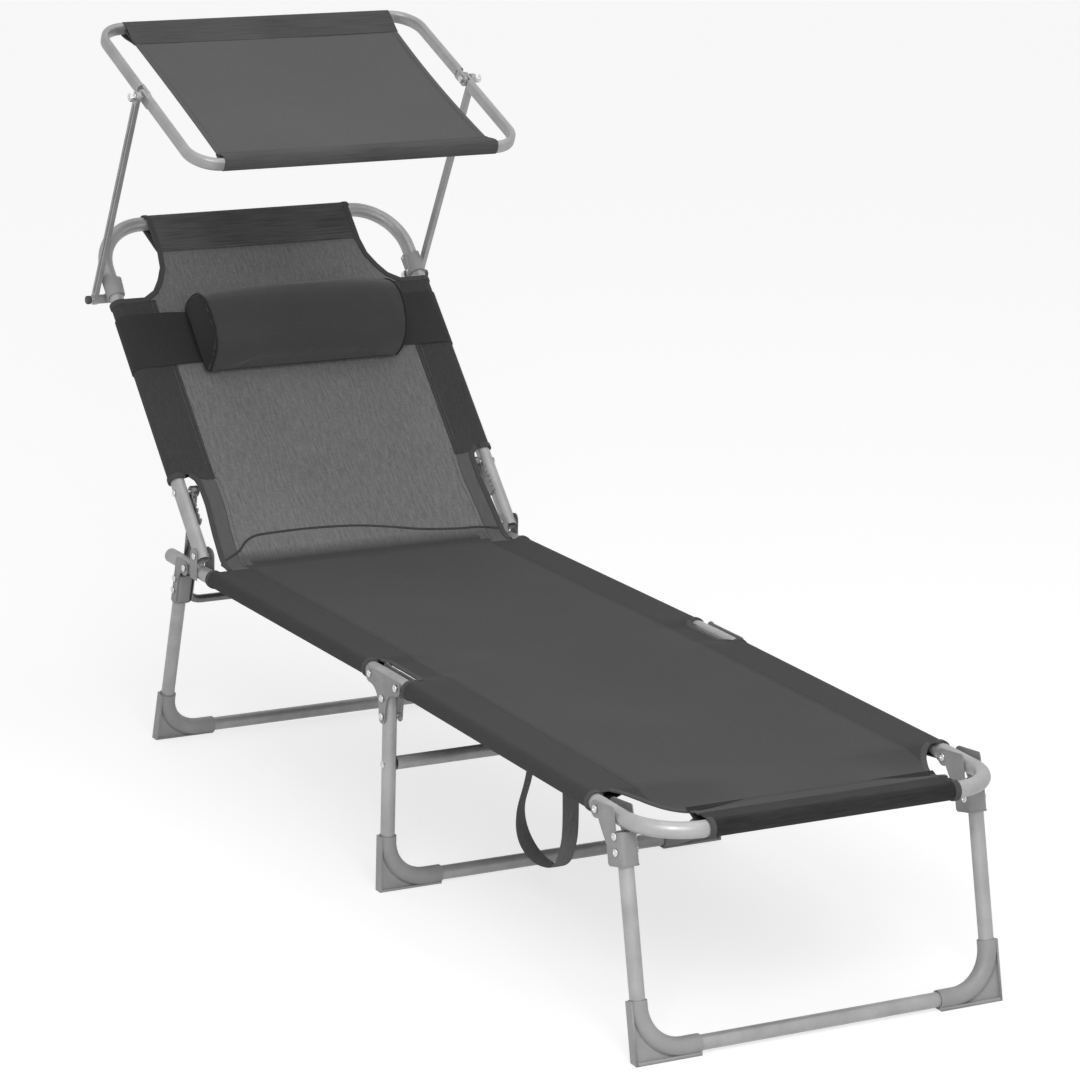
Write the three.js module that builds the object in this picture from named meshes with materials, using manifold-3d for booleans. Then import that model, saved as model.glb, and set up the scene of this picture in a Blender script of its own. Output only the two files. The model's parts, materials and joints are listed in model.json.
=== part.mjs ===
import * as THREE from 'three';
import { mergeVertices } from 'three/addons/utils/BufferGeometryUtils.js';
import Module from 'manifold-3d';

// Folding sun lounger with a tilting canopy. Millimetres, +X from head to foot, +Z up.
// Places are given from the fold line between backrest and seat, on the floor.

// Stock and running clearances
const tube = { radius: 11, wall: 1.2, sides: 12, bendSteps: 4 };
const plate = { thickness: 1.6, gap: 1.7 };
const cloth = { thickness: 0.8, gap: 0.3 };
const clearance = { seat: 0.3, fit: 0.4, slide: 0.5, seam: 0.6, fold: 2, cutOverrun: 2 };

// Facets on curved edges
const facets = {
  plate: 5, smallPlate: 4, armEnd: 7, eye: 10, corner: 4, backEdge: 4, eyeEdge: 5, hoodEdge: 3, strap: 24,
};

// Main frame: straight side rails, then a bent foot section. Both slope down a little from the middle
const rail = { height: 303, rearHeight: 297, spread: 260, rearEnd: -128 };
const footSection = { crossTube: 1314, frontHeight: 298, bendRadius: 72 };
const railCap = { flange: 2.6, rimShare: 0.8, plugLength: 14 };

// Backrest, drawn flat and then tilted about its hinge
const recline = { x: -18, rise: 26, tilt: 45.75 };
const backrest = { length: 591, tail: 8.5, bendRadius: 80 };
const hingePlate = { thickness: 1.2, rear: 14, front: 9, innerFront: 19, top: 12, bottom: 10 };

// Prop bow that hangs from the backrest
const prop = {
  pivot: 110, spread: 239, radius: 6.3, sides: 10, length: 182, lean: 54.9, bendRadius: 28, eye: 8.5,
};

// Legs: base is the floor place of the leg, tilt leans its top towards the foot
const rearLeg = {
  base: -156, tilt: 14.5, pivotOffset: 27, pivotSide: 1, webSide: -1, skirt: 11.9, notched: false,
  neck: { across: 14, up: -11.5, end: -36 },
};
const frontLeg = {
  base: 1310, tilt: -13.3, pivotOffset: 43.8, pivotSide: -1, webSide: 1, skirt: 22, notched: true,
  neck: { across: 10, up: -22, end: -44 },
};
const leg = { radius: 10, spread: 261.5, axisHeight: 13, bendRadius: 58, headGap: 2.5 };
const legBracket = { drop: 70, eye: 11.5, rivetDrops: [32, 52], notchAngle: 210 };

// Middle leg with its two-pivot brackets. The seat and the foot section meet over its base
const midLeg = { base: 607, crossbarHeight: 181, crossbarRadius: 9.5 };
const midBracket = {
  pivotReach: 39, drop: 52, rivetDrops: [25, 51], tip: 9, eye: 12, shoulder: 60, scallopSides: 36,
};

// Plastic feet
const foot = { sleeve: 12.4, upright: 80, along: 96, outer: 275, web: 6, rim: 3, rimWidth: 15 };

// Rivets and thumb screws
const rivet = { radius: 3, hole: 3.4, head: 5.6, headHeight: 2.2, crownShare: 0.6, sides: 8 };
const screw = {
  radius: 3, nut: 5.4, nutHeight: 4, washer: 5.6,
  knob: 6.2, knobHeight: 8, crownShare: 0.8, gripShare: 0.7,
};

// Canopy and its arms
const collar = {
  fromTop: 129, length: 38, wall: 2.4, boltRise: 18, boltBehind: 31, boss: 7, ear: 10,
};
const arm = { length: 375, angle: 64.25, width: 12, thickness: 7, end: 8, inner: 278 };
const canopy = { tilt: 21.9, spread: 269, depth: 200, bendRadius: 43 };
const canopyTube = { width: 11, height: 20, wall: 1, endSteps: 3, lap: 18, tongue: 13, tongueRoot: 4 };
const canopyCloth = { halfWidth: 225, sideDip: 5 };

// Slung cloth: seat and backrest outlines
const seatCloth = { rear: 11, rearHalf: 232, sleeveRear: 28, notch: 71, waist: 236 };
const footCloth = {
  notch: 61, frontGap: 142, cornerGap: 88, cornerHalf: 192, frontHalf: 183,
};
const backCloth = {
  tail: 29, waist: 229, sleeveStart: 133, collarGap: 21, topHalf: 173, eyeDepth: 30, sleeveHem: 46,
};

// Headrest cushion on a band that slides along the backrest
const headrest = {
  fromTop: 228, height: 138, thickness: 82, halfWidth: 177, puff: 9, drawShare: 0.1, drawPower: 4,
  tuckShare: 0.4, endShare: 0.72, riseShare: 0.25, centreShare: 0.33, rings: 10, points: 22,
};
const band = { fromTop: 220, width: 95 };

// Carry strap below the foot section
const strap = {
  rear: 784, front: 862, drop: 230, place: -125, width: 25, thickness: 2,
  bendsAlong: [-24, -46, -30, 13, 62, 84, 91], dropShares: [0.5, 0.77, 0.93, 1, 0.965, 0.84, 0.62],
};

const steel = new THREE.MeshStandardMaterial({ color: 0xa9abad, roughness: 0.42, metalness: 0.35 });
const pressed = new THREE.MeshStandardMaterial({ color: 0x9c9ea0, roughness: 0.5, metalness: 0.35 });
const zinc = new THREE.MeshStandardMaterial({ color: 0xc9cbcc, roughness: 0.3, metalness: 0.8 });
const plastic = new THREE.MeshStandardMaterial({ color: 0x8e9092, roughness: 0.6, metalness: 0 });
const sling = new THREE.MeshStandardMaterial({ color: 0x5b5b5c, roughness: 0.9, metalness: 0 });
const mesh = new THREE.MeshStandardMaterial({ color: 0x676768, roughness: 0.9, metalness: 0 });
const padding = new THREE.MeshStandardMaterial({ color: 0x3f3f40, roughness: 0.9, metalness: 0 });

const sides = [['left', -1], ['right', 1]];
const rad = THREE.MathUtils.degToRad;

const wasm = await Module();
wasm.setup();

// Solids: a geometry becomes a solid that can be joined and cut, and comes back
function toSolid(geometry) {
  const bare = geometry.clone();
  bare.deleteAttribute('normal');
  bare.deleteAttribute('uv');
  const merged = mergeVertices(bare);
  return new wasm.Manifold(new wasm.Mesh({
    numProp: 3,
    vertProperties: Float32Array.from(merged.attributes.position.array),
    triVerts: Uint32Array.from(merged.index.array),
  }));
}

function toGeometry(solid) {
  const { vertProperties, triVerts } = solid.getMesh();
  const geometry = new THREE.BufferGeometry();
  geometry.setAttribute('position', new THREE.BufferAttribute(vertProperties, 3));
  geometry.setIndex(new THREE.BufferAttribute(triVerts, 1));
  geometry.computeVertexNormals();
  return geometry;
}

function join(...geometries) {
  return toGeometry(geometries.map(toSolid).reduce((whole, next) => whole.add(next)));
}

function cut(geometry, ...cutters) {
  return toGeometry(cutters.map(toSolid).reduce((whole, next) => whole.subtract(next), toSolid(geometry)));
}

// A path that passes through its stations with one section at each
class StationPath extends THREE.Curve {
  constructor(stations) {
    super();
    this.stations = stations;
  }

  getPoint(share, target = new THREE.Vector3()) {
    const place = share * (this.stations.length - 1);
    const before = Math.min(Math.floor(place), this.stations.length - 2);
    return target.lerpVectors(this.stations[before], this.stations[before + 1], place - before);
  }

  getPointAt(share, target) {
    return this.getPoint(share, target);
  }

  getTangentAt(share, target = new THREE.Vector3()) {
    const last = this.stations.length - 1;
    const here = Math.round(share * last);
    const arriving = this.direction(Math.max(here - 1, 0));
    const leaving = this.direction(Math.min(here, last - 1));
    return target.copy(arriving).add(leaving).normalize();
  }

  direction(index) {
    return this.stations[index + 1].clone().sub(this.stations[index]).normalize();
  }
}

// Corners joined by straight runs, each corner rounded to the bend radius
function roundedStations(corners, radius, steps) {
  const stations = [corners[0]];
  for (let i = 1; i < corners.length - 1; i += 1) {
    const back = corners[i - 1].clone().sub(corners[i]).normalize();
    const ahead = corners[i + 1].clone().sub(corners[i]).normalize();
    const half = back.angleTo(ahead) / 2;
    const reach = radius / Math.tan(half);
    const inward = back.clone().add(ahead).normalize();
    const centre = corners[i].clone().addScaledVector(inward, radius / Math.sin(half));
    const from = corners[i].clone().addScaledVector(back, reach).sub(centre);
    const to = corners[i].clone().addScaledVector(ahead, reach).sub(centre);
    const turn = from.angleTo(to);
    for (let step = 0; step <= steps; step += 1) {
      const share = step / steps;
      const spoke = from.clone().multiplyScalar(Math.sin((1 - share) * turn) / Math.sin(turn));
      spoke.addScaledVector(to, Math.sin(share * turn) / Math.sin(turn));
      stations.push(centre.clone().add(spoke));
    }
  }
  stations.push(corners[corners.length - 1]);
  return stations;
}

// Outlines
function circlePoints(radius, count) {
  const points = [];
  for (let i = 0; i < count; i += 1) {
    const angle = (2 * Math.PI * i) / count;
    points.push(new THREE.Vector2(radius * Math.cos(angle), radius * Math.sin(angle)));
  }
  return points;
}

function ovalPoints(width, height, steps) {
  const radius = width / 2;
  const straight = height / 2 - radius;
  const points = [];
  for (const end of [1, -1]) {
    for (let i = 0; i <= steps; i += 1) {
      const angle = (Math.PI * i) / steps - (end > 0 ? 0 : Math.PI);
      points.push(new THREE.Vector2(radius * Math.cos(angle), end * straight + radius * Math.sin(angle)));
    }
  }
  return points;
}

function ringShape(outer, inner) {
  const shape = new THREE.Shape(outer);
  shape.holes.push(new THREE.Path(inner));
  return shape;
}

function circle(radius, count = tube.sides) {
  return new THREE.Shape(circlePoints(radius, count));
}

function sweep(shape, stations) {
  const path = new StationPath(stations);
  return new THREE.ExtrudeGeometry(shape, { steps: stations.length - 1, extrudePath: path });
}

// A flat plate: the outline lies in X and Z, and the plate runs from y = low to y = high
function plateXZ(shape, low, high, curveSegments = facets.plate) {
  const geometry = new THREE.ExtrudeGeometry(shape, {
    depth: high - low, bevelEnabled: false, curveSegments,
  });
  geometry.rotateX(Math.PI / 2);
  geometry.translate(0, high, 0);
  return geometry;
}

// The same plate on either side: near and far are distances from the middle plane
function sidePlate(shape, side, near, far, curveSegments) {
  const low = Math.min(side * near, side * far);
  const high = Math.max(side * near, side * far);
  return plateXZ(shape, low, high, curveSegments);
}

// A flat sheet: the outline lies in X and Y
function sheet(shape, low, thickness, curveSegments = facets.plate) {
  const geometry = new THREE.ExtrudeGeometry(shape, {
    depth: thickness, bevelEnabled: false, curveSegments,
  });
  geometry.translate(0, 0, low);
  return geometry;
}

// A straight round bar between y = low and y = high
function crossPin(radius, low, high, x, z, count = rivet.sides) {
  const geometry = new THREE.CylinderGeometry(radius, radius, high - low, count);
  geometry.translate(x, (low + high) / 2, z);
  return geometry;
}

function sideCutter(radius, side, near, far, x, z) {
  const low = Math.min(side * near, side * far) - clearance.cutOverrun;
  const high = Math.max(side * near, side * far) + clearance.cutOverrun;
  return crossPin(radius, low, high, x, z);
}

// A turned piece on a line across the lounger, from (radius, distance) pairs
function turnedAcross(profile, side, x, z) {
  const points = profile.map(([radius, place]) => new THREE.Vector2(radius, place));
  const geometry = new THREE.LatheGeometry(points, rivet.sides);
  if (side < 0) {
    geometry.rotateX(Math.PI);
  }
  geometry.translate(x, 0, z);
  return geometry;
}

// A rivet whose heads sit against plates at near and far
function rivetPin(side, near, far, x, z) {
  const inner = near - clearance.seat;
  const outer = far + clearance.seat;
  const dome = rivet.head * rivet.crownShare;
  return turnedAcross([
    [0, inner - rivet.headHeight], [dome, inner - rivet.headHeight], [rivet.head, inner],
    [rivet.radius, inner], [rivet.radius, outer], [rivet.head, outer],
    [dome, outer + rivet.headHeight], [0, outer + rivet.headHeight],
  ], side, x, z);
}

// A thumb screw: nut on the near side, washer and ribbed knob on the far side
function thumbScrew(side, near, far, x, z) {
  const inner = near - clearance.seat;
  const outer = far + clearance.seat;
  const neck = outer + rivet.headHeight;
  const crown = screw.knob * screw.crownShare;
  return turnedAcross([
    [0, inner - screw.nutHeight], [screw.nut, inner - screw.nutHeight], [screw.nut, inner],
    [screw.radius, inner], [screw.radius, outer], [screw.washer, outer], [screw.washer, neck],
    [screw.knob, neck], [screw.knob, neck + screw.knobHeight * screw.gripShare],
    [crown, neck + screw.knobHeight], [0, neck + screw.knobHeight],
  ], side, x, z);
}

function named(name, geometry, material) {
  const part = new THREE.Mesh(geometry, material);
  part.name = name;
  return part;
}

// Distances from the middle plane of the plates on either side of a rail
const flank = {
  outerNear: rail.spread + tube.radius + plate.gap,
  outerFar: rail.spread + tube.radius + plate.gap + plate.thickness,
  innerNear: rail.spread - tube.radius - plate.gap,
  innerFar: rail.spread - tube.radius - plate.gap - plate.thickness,
};
const hingeFlank = {
  outerNear: rail.spread + tube.radius + clearance.seat,
  outerFar: rail.spread + tube.radius + clearance.seat + hingePlate.thickness,
  innerNear: rail.spread - tube.radius - clearance.seat,
  innerFar: rail.spread - tube.radius - clearance.seat - hingePlate.thickness,
};

const hinge = { x: recline.x, z: rail.height + recline.rise };
const tubeShape = ringShape(
  circlePoints(tube.radius, tube.sides),
  circlePoints(tube.radius - tube.wall, tube.sides),
);
const sleeveInner = tube.radius + cloth.gap;
const sleeveOuter = sleeveInner + cloth.thickness;
const collarBore = tube.radius + clearance.fit;

// Where the collars sit on the backrest, and where the sleeves of the cloths stop
const collarPlace = {
  start: backrest.length - collar.fromTop,
  bolt: backrest.length - collar.fromTop + collar.boltRise,
};
const sleeveStop = {
  seatFront: midLeg.base - seatCloth.notch,
  footRear: midLeg.base + footCloth.notch,
  footFront: footSection.crossTube - footCloth.frontGap,
  back: collarPlace.start - backCloth.collarGap,
};

const midPivots = {
  seat: midLeg.base - midBracket.pivotReach,
  foot: midLeg.base + midBracket.pivotReach,
  z: rail.height,
};

// A section is drawn level and then turned about its middle pivot, so that its far end drops
class SlopedSection {
  constructor(pivot, end, endHeight) {
    this.pivot = pivot;
    this.angle = Math.asin((rail.height - endHeight) / Math.abs(end - pivot)) * Math.sign(end - pivot);
  }

  turned(x, z, angle) {
    const across = x - this.pivot;
    const up = z - rail.height;
    return {
      x: this.pivot + across * Math.cos(angle) + up * Math.sin(angle),
      z: rail.height - across * Math.sin(angle) + up * Math.cos(angle),
    };
  }

  // From the level drawing to the lounger's frame, and back
  placed(x, z) {
    return this.turned(x, z, this.angle);
  }

  level(x, z) {
    return this.turned(x, z, -this.angle);
  }

  tilt(group) {
    const corner = this.placed(0, 0);
    group.position.set(corner.x, 0, corner.z);
    group.rotation.y = this.angle;
    return group;
  }

  // A leg's pivot on the rail, in the lounger's frame and in the leg's own tilted frame
  legPivot(spec) {
    const lean = rad(spec.tilt);
    const fall = Math.tan(this.angle);
    const offset = (spec.pivotSide * spec.pivotOffset) / Math.cos(lean);
    const reach = spec.base + (rail.height + this.pivot * fall) * Math.tan(lean) + offset;
    const x = reach / (1 + fall * Math.tan(lean));
    const z = rail.height - (x - this.pivot) * fall;
    return { x, z, up: (x - spec.base) * Math.sin(lean) + z * Math.cos(lean) };
  }
}

const seatSlope = new SlopedSection(midPivots.seat, rail.rearEnd, rail.rearHeight);
const footSlope = new SlopedSection(midPivots.foot, footSection.crossTube, footSection.frontHeight);
const rearStand = { ...rearLeg, pivot: seatSlope.legPivot(rearLeg) };
const frontStand = { ...frontLeg, pivot: footSlope.legPivot(frontLeg) };
const rearHole = seatSlope.level(rearStand.pivot.x, rearStand.pivot.z);
const frontHole = footSlope.level(frontStand.pivot.x, frontStand.pivot.z);

// Seat section
function sideRail(side) {
  const y = side * rail.spread;
  const ends = [rail.rearEnd, midLeg.base - clearance.seam / 2];
  const bar = sweep(tubeShape, ends.map((x) => new THREE.Vector3(x, y, rail.height)));
  const holes = [rearHole, { x: midPivots.seat, z: midPivots.z }];
  return cut(bar, ...holes.map(({ x, z }) => sideCutter(rivet.hole, side, ...tubeSpan(), x, z)));
}

function tubeSpan() {
  return [rail.spread - tube.radius, rail.spread + tube.radius];
}

function railEndCap(side) {
  const plug = tube.radius - tube.wall - clearance.fit;
  const back = -railCap.flange;
  const geometry = new THREE.LatheGeometry([
    [0, back], [tube.radius * railCap.rimShare, back], [tube.radius, back / 2], [tube.radius, 0],
    [plug, 0], [plug, railCap.plugLength], [0, railCap.plugLength],
  ].map(([radius, place]) => new THREE.Vector2(radius, place)), tube.sides);
  geometry.rotateZ(-Math.PI / 2);
  geometry.translate(rail.rearEnd - clearance.seat, side * rail.spread, rail.height);
  return geometry;
}

function hingePlateShape(front) {
  const low = rail.height - hingePlate.bottom;
  const high = hinge.z + hingePlate.top;
  const rear = hinge.x - hingePlate.rear;
  const fore = hinge.x + front;
  const shape = new THREE.Shape();
  shape.moveTo(rear, low);
  shape.lineTo(hinge.x + hingePlate.front, low);
  shape.quadraticCurveTo(fore, low, fore, rail.height + tube.radius);
  shape.lineTo(fore, hinge.z);
  shape.quadraticCurveTo(fore, high, hinge.x, high);
  shape.quadraticCurveTo(rear, high, rear, hinge.z);
  return shape;
}

function hingeSide(side, front, near, far) {
  const blank = sidePlate(hingePlateShape(front), side, near, far, facets.smallPlate);
  return cut(blank, sideCutter(rivet.hole, side, near, far, hinge.x, hinge.z));
}

// Cloth sleeves and sheets of the sling. A sleeve is a loop round a tube.
function sleeveAlongX(from, to, y, z) {
  const loop = ringShape(circlePoints(sleeveOuter, tube.sides), circlePoints(sleeveInner, tube.sides));
  return sweep(loop, [new THREE.Vector3(from, y, z), new THREE.Vector3(to, y, z)]);
}

function sleeveAlongY(x, halfWidth, z) {
  const loop = ringShape(circlePoints(sleeveOuter, tube.sides), circlePoints(sleeveInner, tube.sides));
  return sweep(loop, [new THREE.Vector3(x, -halfWidth, z), new THREE.Vector3(x, halfWidth, z)]);
}

// Mirrors one half outline, listed from rear to front, into a closed symmetric shape
function mirroredShape(half) {
  const other = half.map(([x, y]) => [x, -y]).reverse();
  return new THREE.Shape([...half, ...other].map(([x, y]) => new THREE.Vector2(x, y)));
}

function arcBetween([x1, y1], [x2, y2], bulge, steps) {
  const curve = new THREE.QuadraticBezierCurve(
    new THREE.Vector2(x1, y1),
    new THREE.Vector2((x1 + x2) / 2 + bulge[0], (y1 + y2) / 2 + bulge[1]),
    new THREE.Vector2(x2, y2),
  );
  return curve.getPoints(steps).map((point) => [point.x, point.y]);
}

function seatClothPiece() {
  const low = rail.height + sleeveInner;
  const seam = midLeg.base - clearance.seam / 2;
  const outline = mirroredShape([
    [seatCloth.rear, seatCloth.rearHalf], [seatCloth.sleeveRear, rail.spread],
    [sleeveStop.seatFront, rail.spread],
    [sleeveStop.seatFront + tube.radius, seatCloth.waist], [seam, seatCloth.waist],
  ]);
  const loops = sides.map(([, side]) => sleeveAlongX(
    seatCloth.sleeveRear, sleeveStop.seatFront, side * rail.spread, rail.height));
  return join(sheet(outline, low, cloth.thickness), ...loops);
}

function footClothPiece() {
  const low = rail.height + sleeveInner;
  const seam = midLeg.base + clearance.seam / 2;
  const outline = mirroredShape([
    [seam, seatCloth.waist], [sleeveStop.footRear - tube.radius, seatCloth.waist],
    [sleeveStop.footRear, rail.spread], [sleeveStop.footFront, rail.spread],
    [footSection.crossTube - footCloth.cornerGap, footCloth.cornerHalf],
    [footSection.crossTube - tube.radius, footCloth.frontHalf],
    [footSection.crossTube, footCloth.frontHalf],
  ]);
  const loops = sides.map(([, side]) => sleeveAlongX(
    sleeveStop.footRear, sleeveStop.footFront, side * rail.spread, rail.height));
  const hem = sleeveAlongY(footSection.crossTube, footCloth.frontHalf, rail.height);
  return join(sheet(outline, low, cloth.thickness), ...loops, hem);
}

// Backrest pieces, drawn flat: the backrest runs from its hinge towards -X, its face is +Z
function backrestBow() {
  const run = [
    [backrest.tail, -rail.spread], [-backrest.length, -rail.spread],
    [-backrest.length, rail.spread], [backrest.tail, rail.spread],
  ].map(([x, y]) => new THREE.Vector3(x, y, 0));
  const bow = sweep(tubeShape, roundedStations(run, backrest.bendRadius, tube.bendSteps));
  const cutters = sides.flatMap(([, side]) => [
    sideCutter(rivet.hole, side, ...tubeSpan(), 0, 0),
    sideCutter(rivet.hole, side, ...tubeSpan(), -prop.pivot, 0),
  ]);
  return cut(bow, ...cutters);
}

function backClothPiece() {
  const top = backrest.length - backCloth.sleeveHem;
  const half = [
    [backCloth.tail, seatCloth.rearHalf],
    ...arcBetween([0, seatCloth.rearHalf], [-backCloth.sleeveStart + tube.radius, backCloth.waist],
      [0, -tube.radius / 2], facets.backEdge),
    [-backCloth.sleeveStart, rail.spread], [-sleeveStop.back, rail.spread],
    ...arcBetween([-sleeveStop.back, rail.spread - tube.radius], [-top, backCloth.topHalf],
      [backCloth.eyeDepth, -backCloth.eyeDepth], facets.eyeEdge),
    [-backrest.length, backCloth.topHalf],
  ];
  const outline = mirroredShape(half);
  const loops = sides.map(([, side]) => sleeveAlongX(
    -sleeveStop.back, -backCloth.sleeveStart, side * rail.spread, 0));
  const hem = sleeveAlongY(-backrest.length, backCloth.topHalf, 0);
  return join(sheet(outline, sleeveInner, cloth.thickness), ...loops, hem);
}

function headrestBand() {
  const reach = rail.spread + sleeveOuter + clearance.slide;
  const bend = sleeveOuter + clearance.slide;
  const inner = new THREE.Shape();
  inner.absarc(rail.spread, 0, bend, -Math.PI / 2, Math.PI / 2, false);
  inner.absarc(-rail.spread, 0, bend, Math.PI / 2, (3 * Math.PI) / 2, false);
  const outer = new THREE.Shape();
  const wrap = bend + cloth.thickness;
  outer.absarc(reach - bend, 0, wrap, -Math.PI / 2, Math.PI / 2, false);
  outer.absarc(bend - reach, 0, wrap, Math.PI / 2, (3 * Math.PI) / 2, false);
  outer.holes.push(inner);
  const geometry = new THREE.ExtrudeGeometry(outer, {
    depth: band.width, bevelEnabled: false, curveSegments: tube.sides / 2,
  });
  geometry.rotateX(Math.PI / 2);
  geometry.rotateZ(Math.PI / 2);
  geometry.translate(band.fromTop - backrest.length - band.width / 2, 0, 0);
  return geometry;
}

// Bolster: a D section, flat at the back, that swells in the middle and draws in at both ends
function headrestCushion() {
  const back = sleeveOuter + 2 * clearance.slide + cloth.thickness;
  const half = headrest.halfWidth;
  const place = headrest.fromTop - backrest.length;
  const rows = [];
  for (let row = 0; row <= headrest.rings; row += 1) {
    const share = (2 * row) / headrest.rings - 1;
    const drawn = headrest.drawShare * Math.abs(share) ** headrest.drawPower;
    rows.push({ y: (half - headrest.puff) * share, scale: 1 - drawn });
  }
  const tuck = half - headrest.puff * headrest.tuckShare;
  rows.unshift({ y: -tuck, scale: headrest.endShare });
  rows.push({ y: tuck, scale: headrest.endShare });
  const positions = [];
  for (const { y, scale } of rows) {
    for (let i = 0; i < headrest.points; i += 1) {
      const angle = (2 * Math.PI * i) / headrest.points;
      const depth = Math.max(Math.sin(angle), 0) * headrest.thickness * scale;
      const middle = (1 - scale) * headrest.thickness * headrest.riseShare;
      const across = (Math.cos(angle) * headrest.height * scale) / 2;
      positions.push(across + place, y, back + middle + depth);
    }
  }
  const centre = back + headrest.thickness * headrest.centreShare;
  positions.push(place, -half, centre, place, half, centre);
  const geometry = new THREE.BufferGeometry();
  geometry.setAttribute('position', new THREE.Float32BufferAttribute(positions, 3));
  geometry.setIndex(ringFaces(rows.length, headrest.points));
  geometry.computeVertexNormals();
  return geometry;
}

// Faces between successive rings, with a fan to an end point at both ends
function ringFaces(rings, around) {
  const index = [];
  const first = rings * around;
  for (let i = 0; i < around; i += 1) {
    const next = (i + 1) % around;
    for (let ring = 0; ring < rings - 1; ring += 1) {
      const low = ring * around;
      const high = low + around;
      index.push(low + i, high + i, high + next, low + i, high + next, low + next);
    }
    const last = first - around;
    index.push(first, i, next, first + 1, last + next, last + i);
  }
  return index;
}

// Prop bow, drawn in the backrest's flat frame with its pivots at the origin
function propBow() {
  const lean = rad(prop.lean);
  const down = new THREE.Vector3(Math.cos(lean), 0, -Math.sin(lean));
  const at = (y, reach) => down.clone().multiplyScalar(reach).setY(y);
  const run = [
    at(-prop.spread, 0), at(-prop.spread, prop.length),
    at(prop.spread, prop.length), at(prop.spread, 0),
  ];
  const bow = sweep(circle(prop.radius, prop.sides), roundedStations(run, prop.bendRadius, tube.bendSteps));
  const eyes = sides.map(([, side]) => crossPin(
    prop.eye, side * prop.spread - prop.radius, side * prop.spread + prop.radius, 0, 0));
  const holes = sides.map(([, side]) => sideCutter(
    rivet.hole, side, prop.spread - prop.radius, prop.spread + prop.radius, 0, 0));
  return cut(join(bow, ...eyes), ...holes);
}

function collarPiece(side) {
  const ring = ringShape(
    circlePoints(collarBore + collar.wall, tube.sides), circlePoints(collarBore, tube.sides),
  );
  const y = side * rail.spread;
  const { start, bolt } = collarPlace;
  const shell = sweep(ring, [
    new THREE.Vector3(-start - collar.length, y, 0), new THREE.Vector3(-start, y, 0),
  ]);
  const earShape = new THREE.Shape();
  const root = -start - collar.length / 2;
  earShape.moveTo(-bolt - collar.boss, -collar.boltBehind);
  earShape.absarc(-bolt, -collar.boltBehind, collar.boss, Math.PI, 2 * Math.PI, false);
  earShape.lineTo(-start, -tube.radius / 2);
  earShape.lineTo(root, -tube.radius / 2);
  const near = rail.spread - collar.ear / 2;
  const ear = sidePlate(earShape, side, near, near + collar.ear);
  const bossFar = arm.inner - clearance.seat;
  const boss = crossPin(collar.boss, ...ordered(side * near, side * bossFar), -bolt, -collar.boltBehind);
  const bore = new THREE.CylinderGeometry(
    collarBore, collarBore, collar.length + 2 * tube.radius, tube.sides);
  bore.rotateZ(Math.PI / 2);
  bore.rotateX(Math.PI / 2);
  bore.translate(root, y, 0);
  const boltHole = sideCutter(rivet.hole, side, near, bossFar, -bolt, -collar.boltBehind);
  return cut(join(shell, ear, boss), bore, boltHole);
}

function ordered(a, b) {
  return a < b ? [a, b] : [b, a];
}

// Canopy arm, drawn along +X from its lower bolt
function canopyArm(side) {
  const half = arm.width / 2;
  const ends = Math.asin(half / arm.end);
  const shape = new THREE.Shape();
  shape.absarc(0, 0, arm.end, ends, 2 * Math.PI - ends, false);
  shape.absarc(arm.length, 0, arm.end, Math.PI + ends, 3 * Math.PI - ends, false);
  const far = arm.inner + arm.thickness;
  const blank = sidePlate(shape, side, arm.inner, far, facets.armEnd);
  const holes = [0, arm.length].map((x) => sideCutter(rivet.hole, side, arm.inner, far, x, 0));
  return cut(blank, ...holes);
}

// Half of the canopy frame: end +1 is the front half and -1 the rear half
function canopyBow(end) {
  const outline = ovalPoints(canopyTube.width, canopyTube.height, canopyTube.endSteps);
  const hollow = ovalPoints(
    canopyTube.width - 2 * canopyTube.wall, canopyTube.height - 2 * canopyTube.wall,
    canopyTube.endSteps);
  const shape = ringShape(...[outline, hollow].map((points) => points.map(
    (point) => new THREE.Vector2(point.y, point.x)).reverse()));
  const run = [
    [end * canopyTube.lap, -canopy.spread], [end * canopy.depth, -canopy.spread],
    [end * canopy.depth, canopy.spread], [end * canopyTube.lap, canopy.spread],
  ].map(([x, y]) => new THREE.Vector3(x, y, 0));
  const bow = sweep(shape, roundedStations(run, canopy.bendRadius, tube.bendSteps));
  const halves = canopyTube.width / 2;
  const lapNear = canopy.spread + (end > 0 ? clearance.seat : -halves);
  const lapFar = canopy.spread + (end > 0 ? halves : -clearance.seat);
  const half = canopyTube.height / 2 - canopyTube.wall;
  const [low, high] = ordered(-end * canopyTube.tongue, end * (canopyTube.lap + canopyTube.tongueRoot));
  const tongue = new THREE.Shape();
  tongue.moveTo(low, -half);
  tongue.lineTo(high, -half);
  tongue.lineTo(high, half);
  tongue.lineTo(low, half);
  const tongues = sides.map(([, side]) => sidePlate(tongue, side, lapNear, lapFar));
  const holes = sides.map(([, side]) => sideCutter(rivet.hole, side, lapNear, lapFar, 0, 0));
  return cut(join(bow, ...tongues), ...holes);
}

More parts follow.
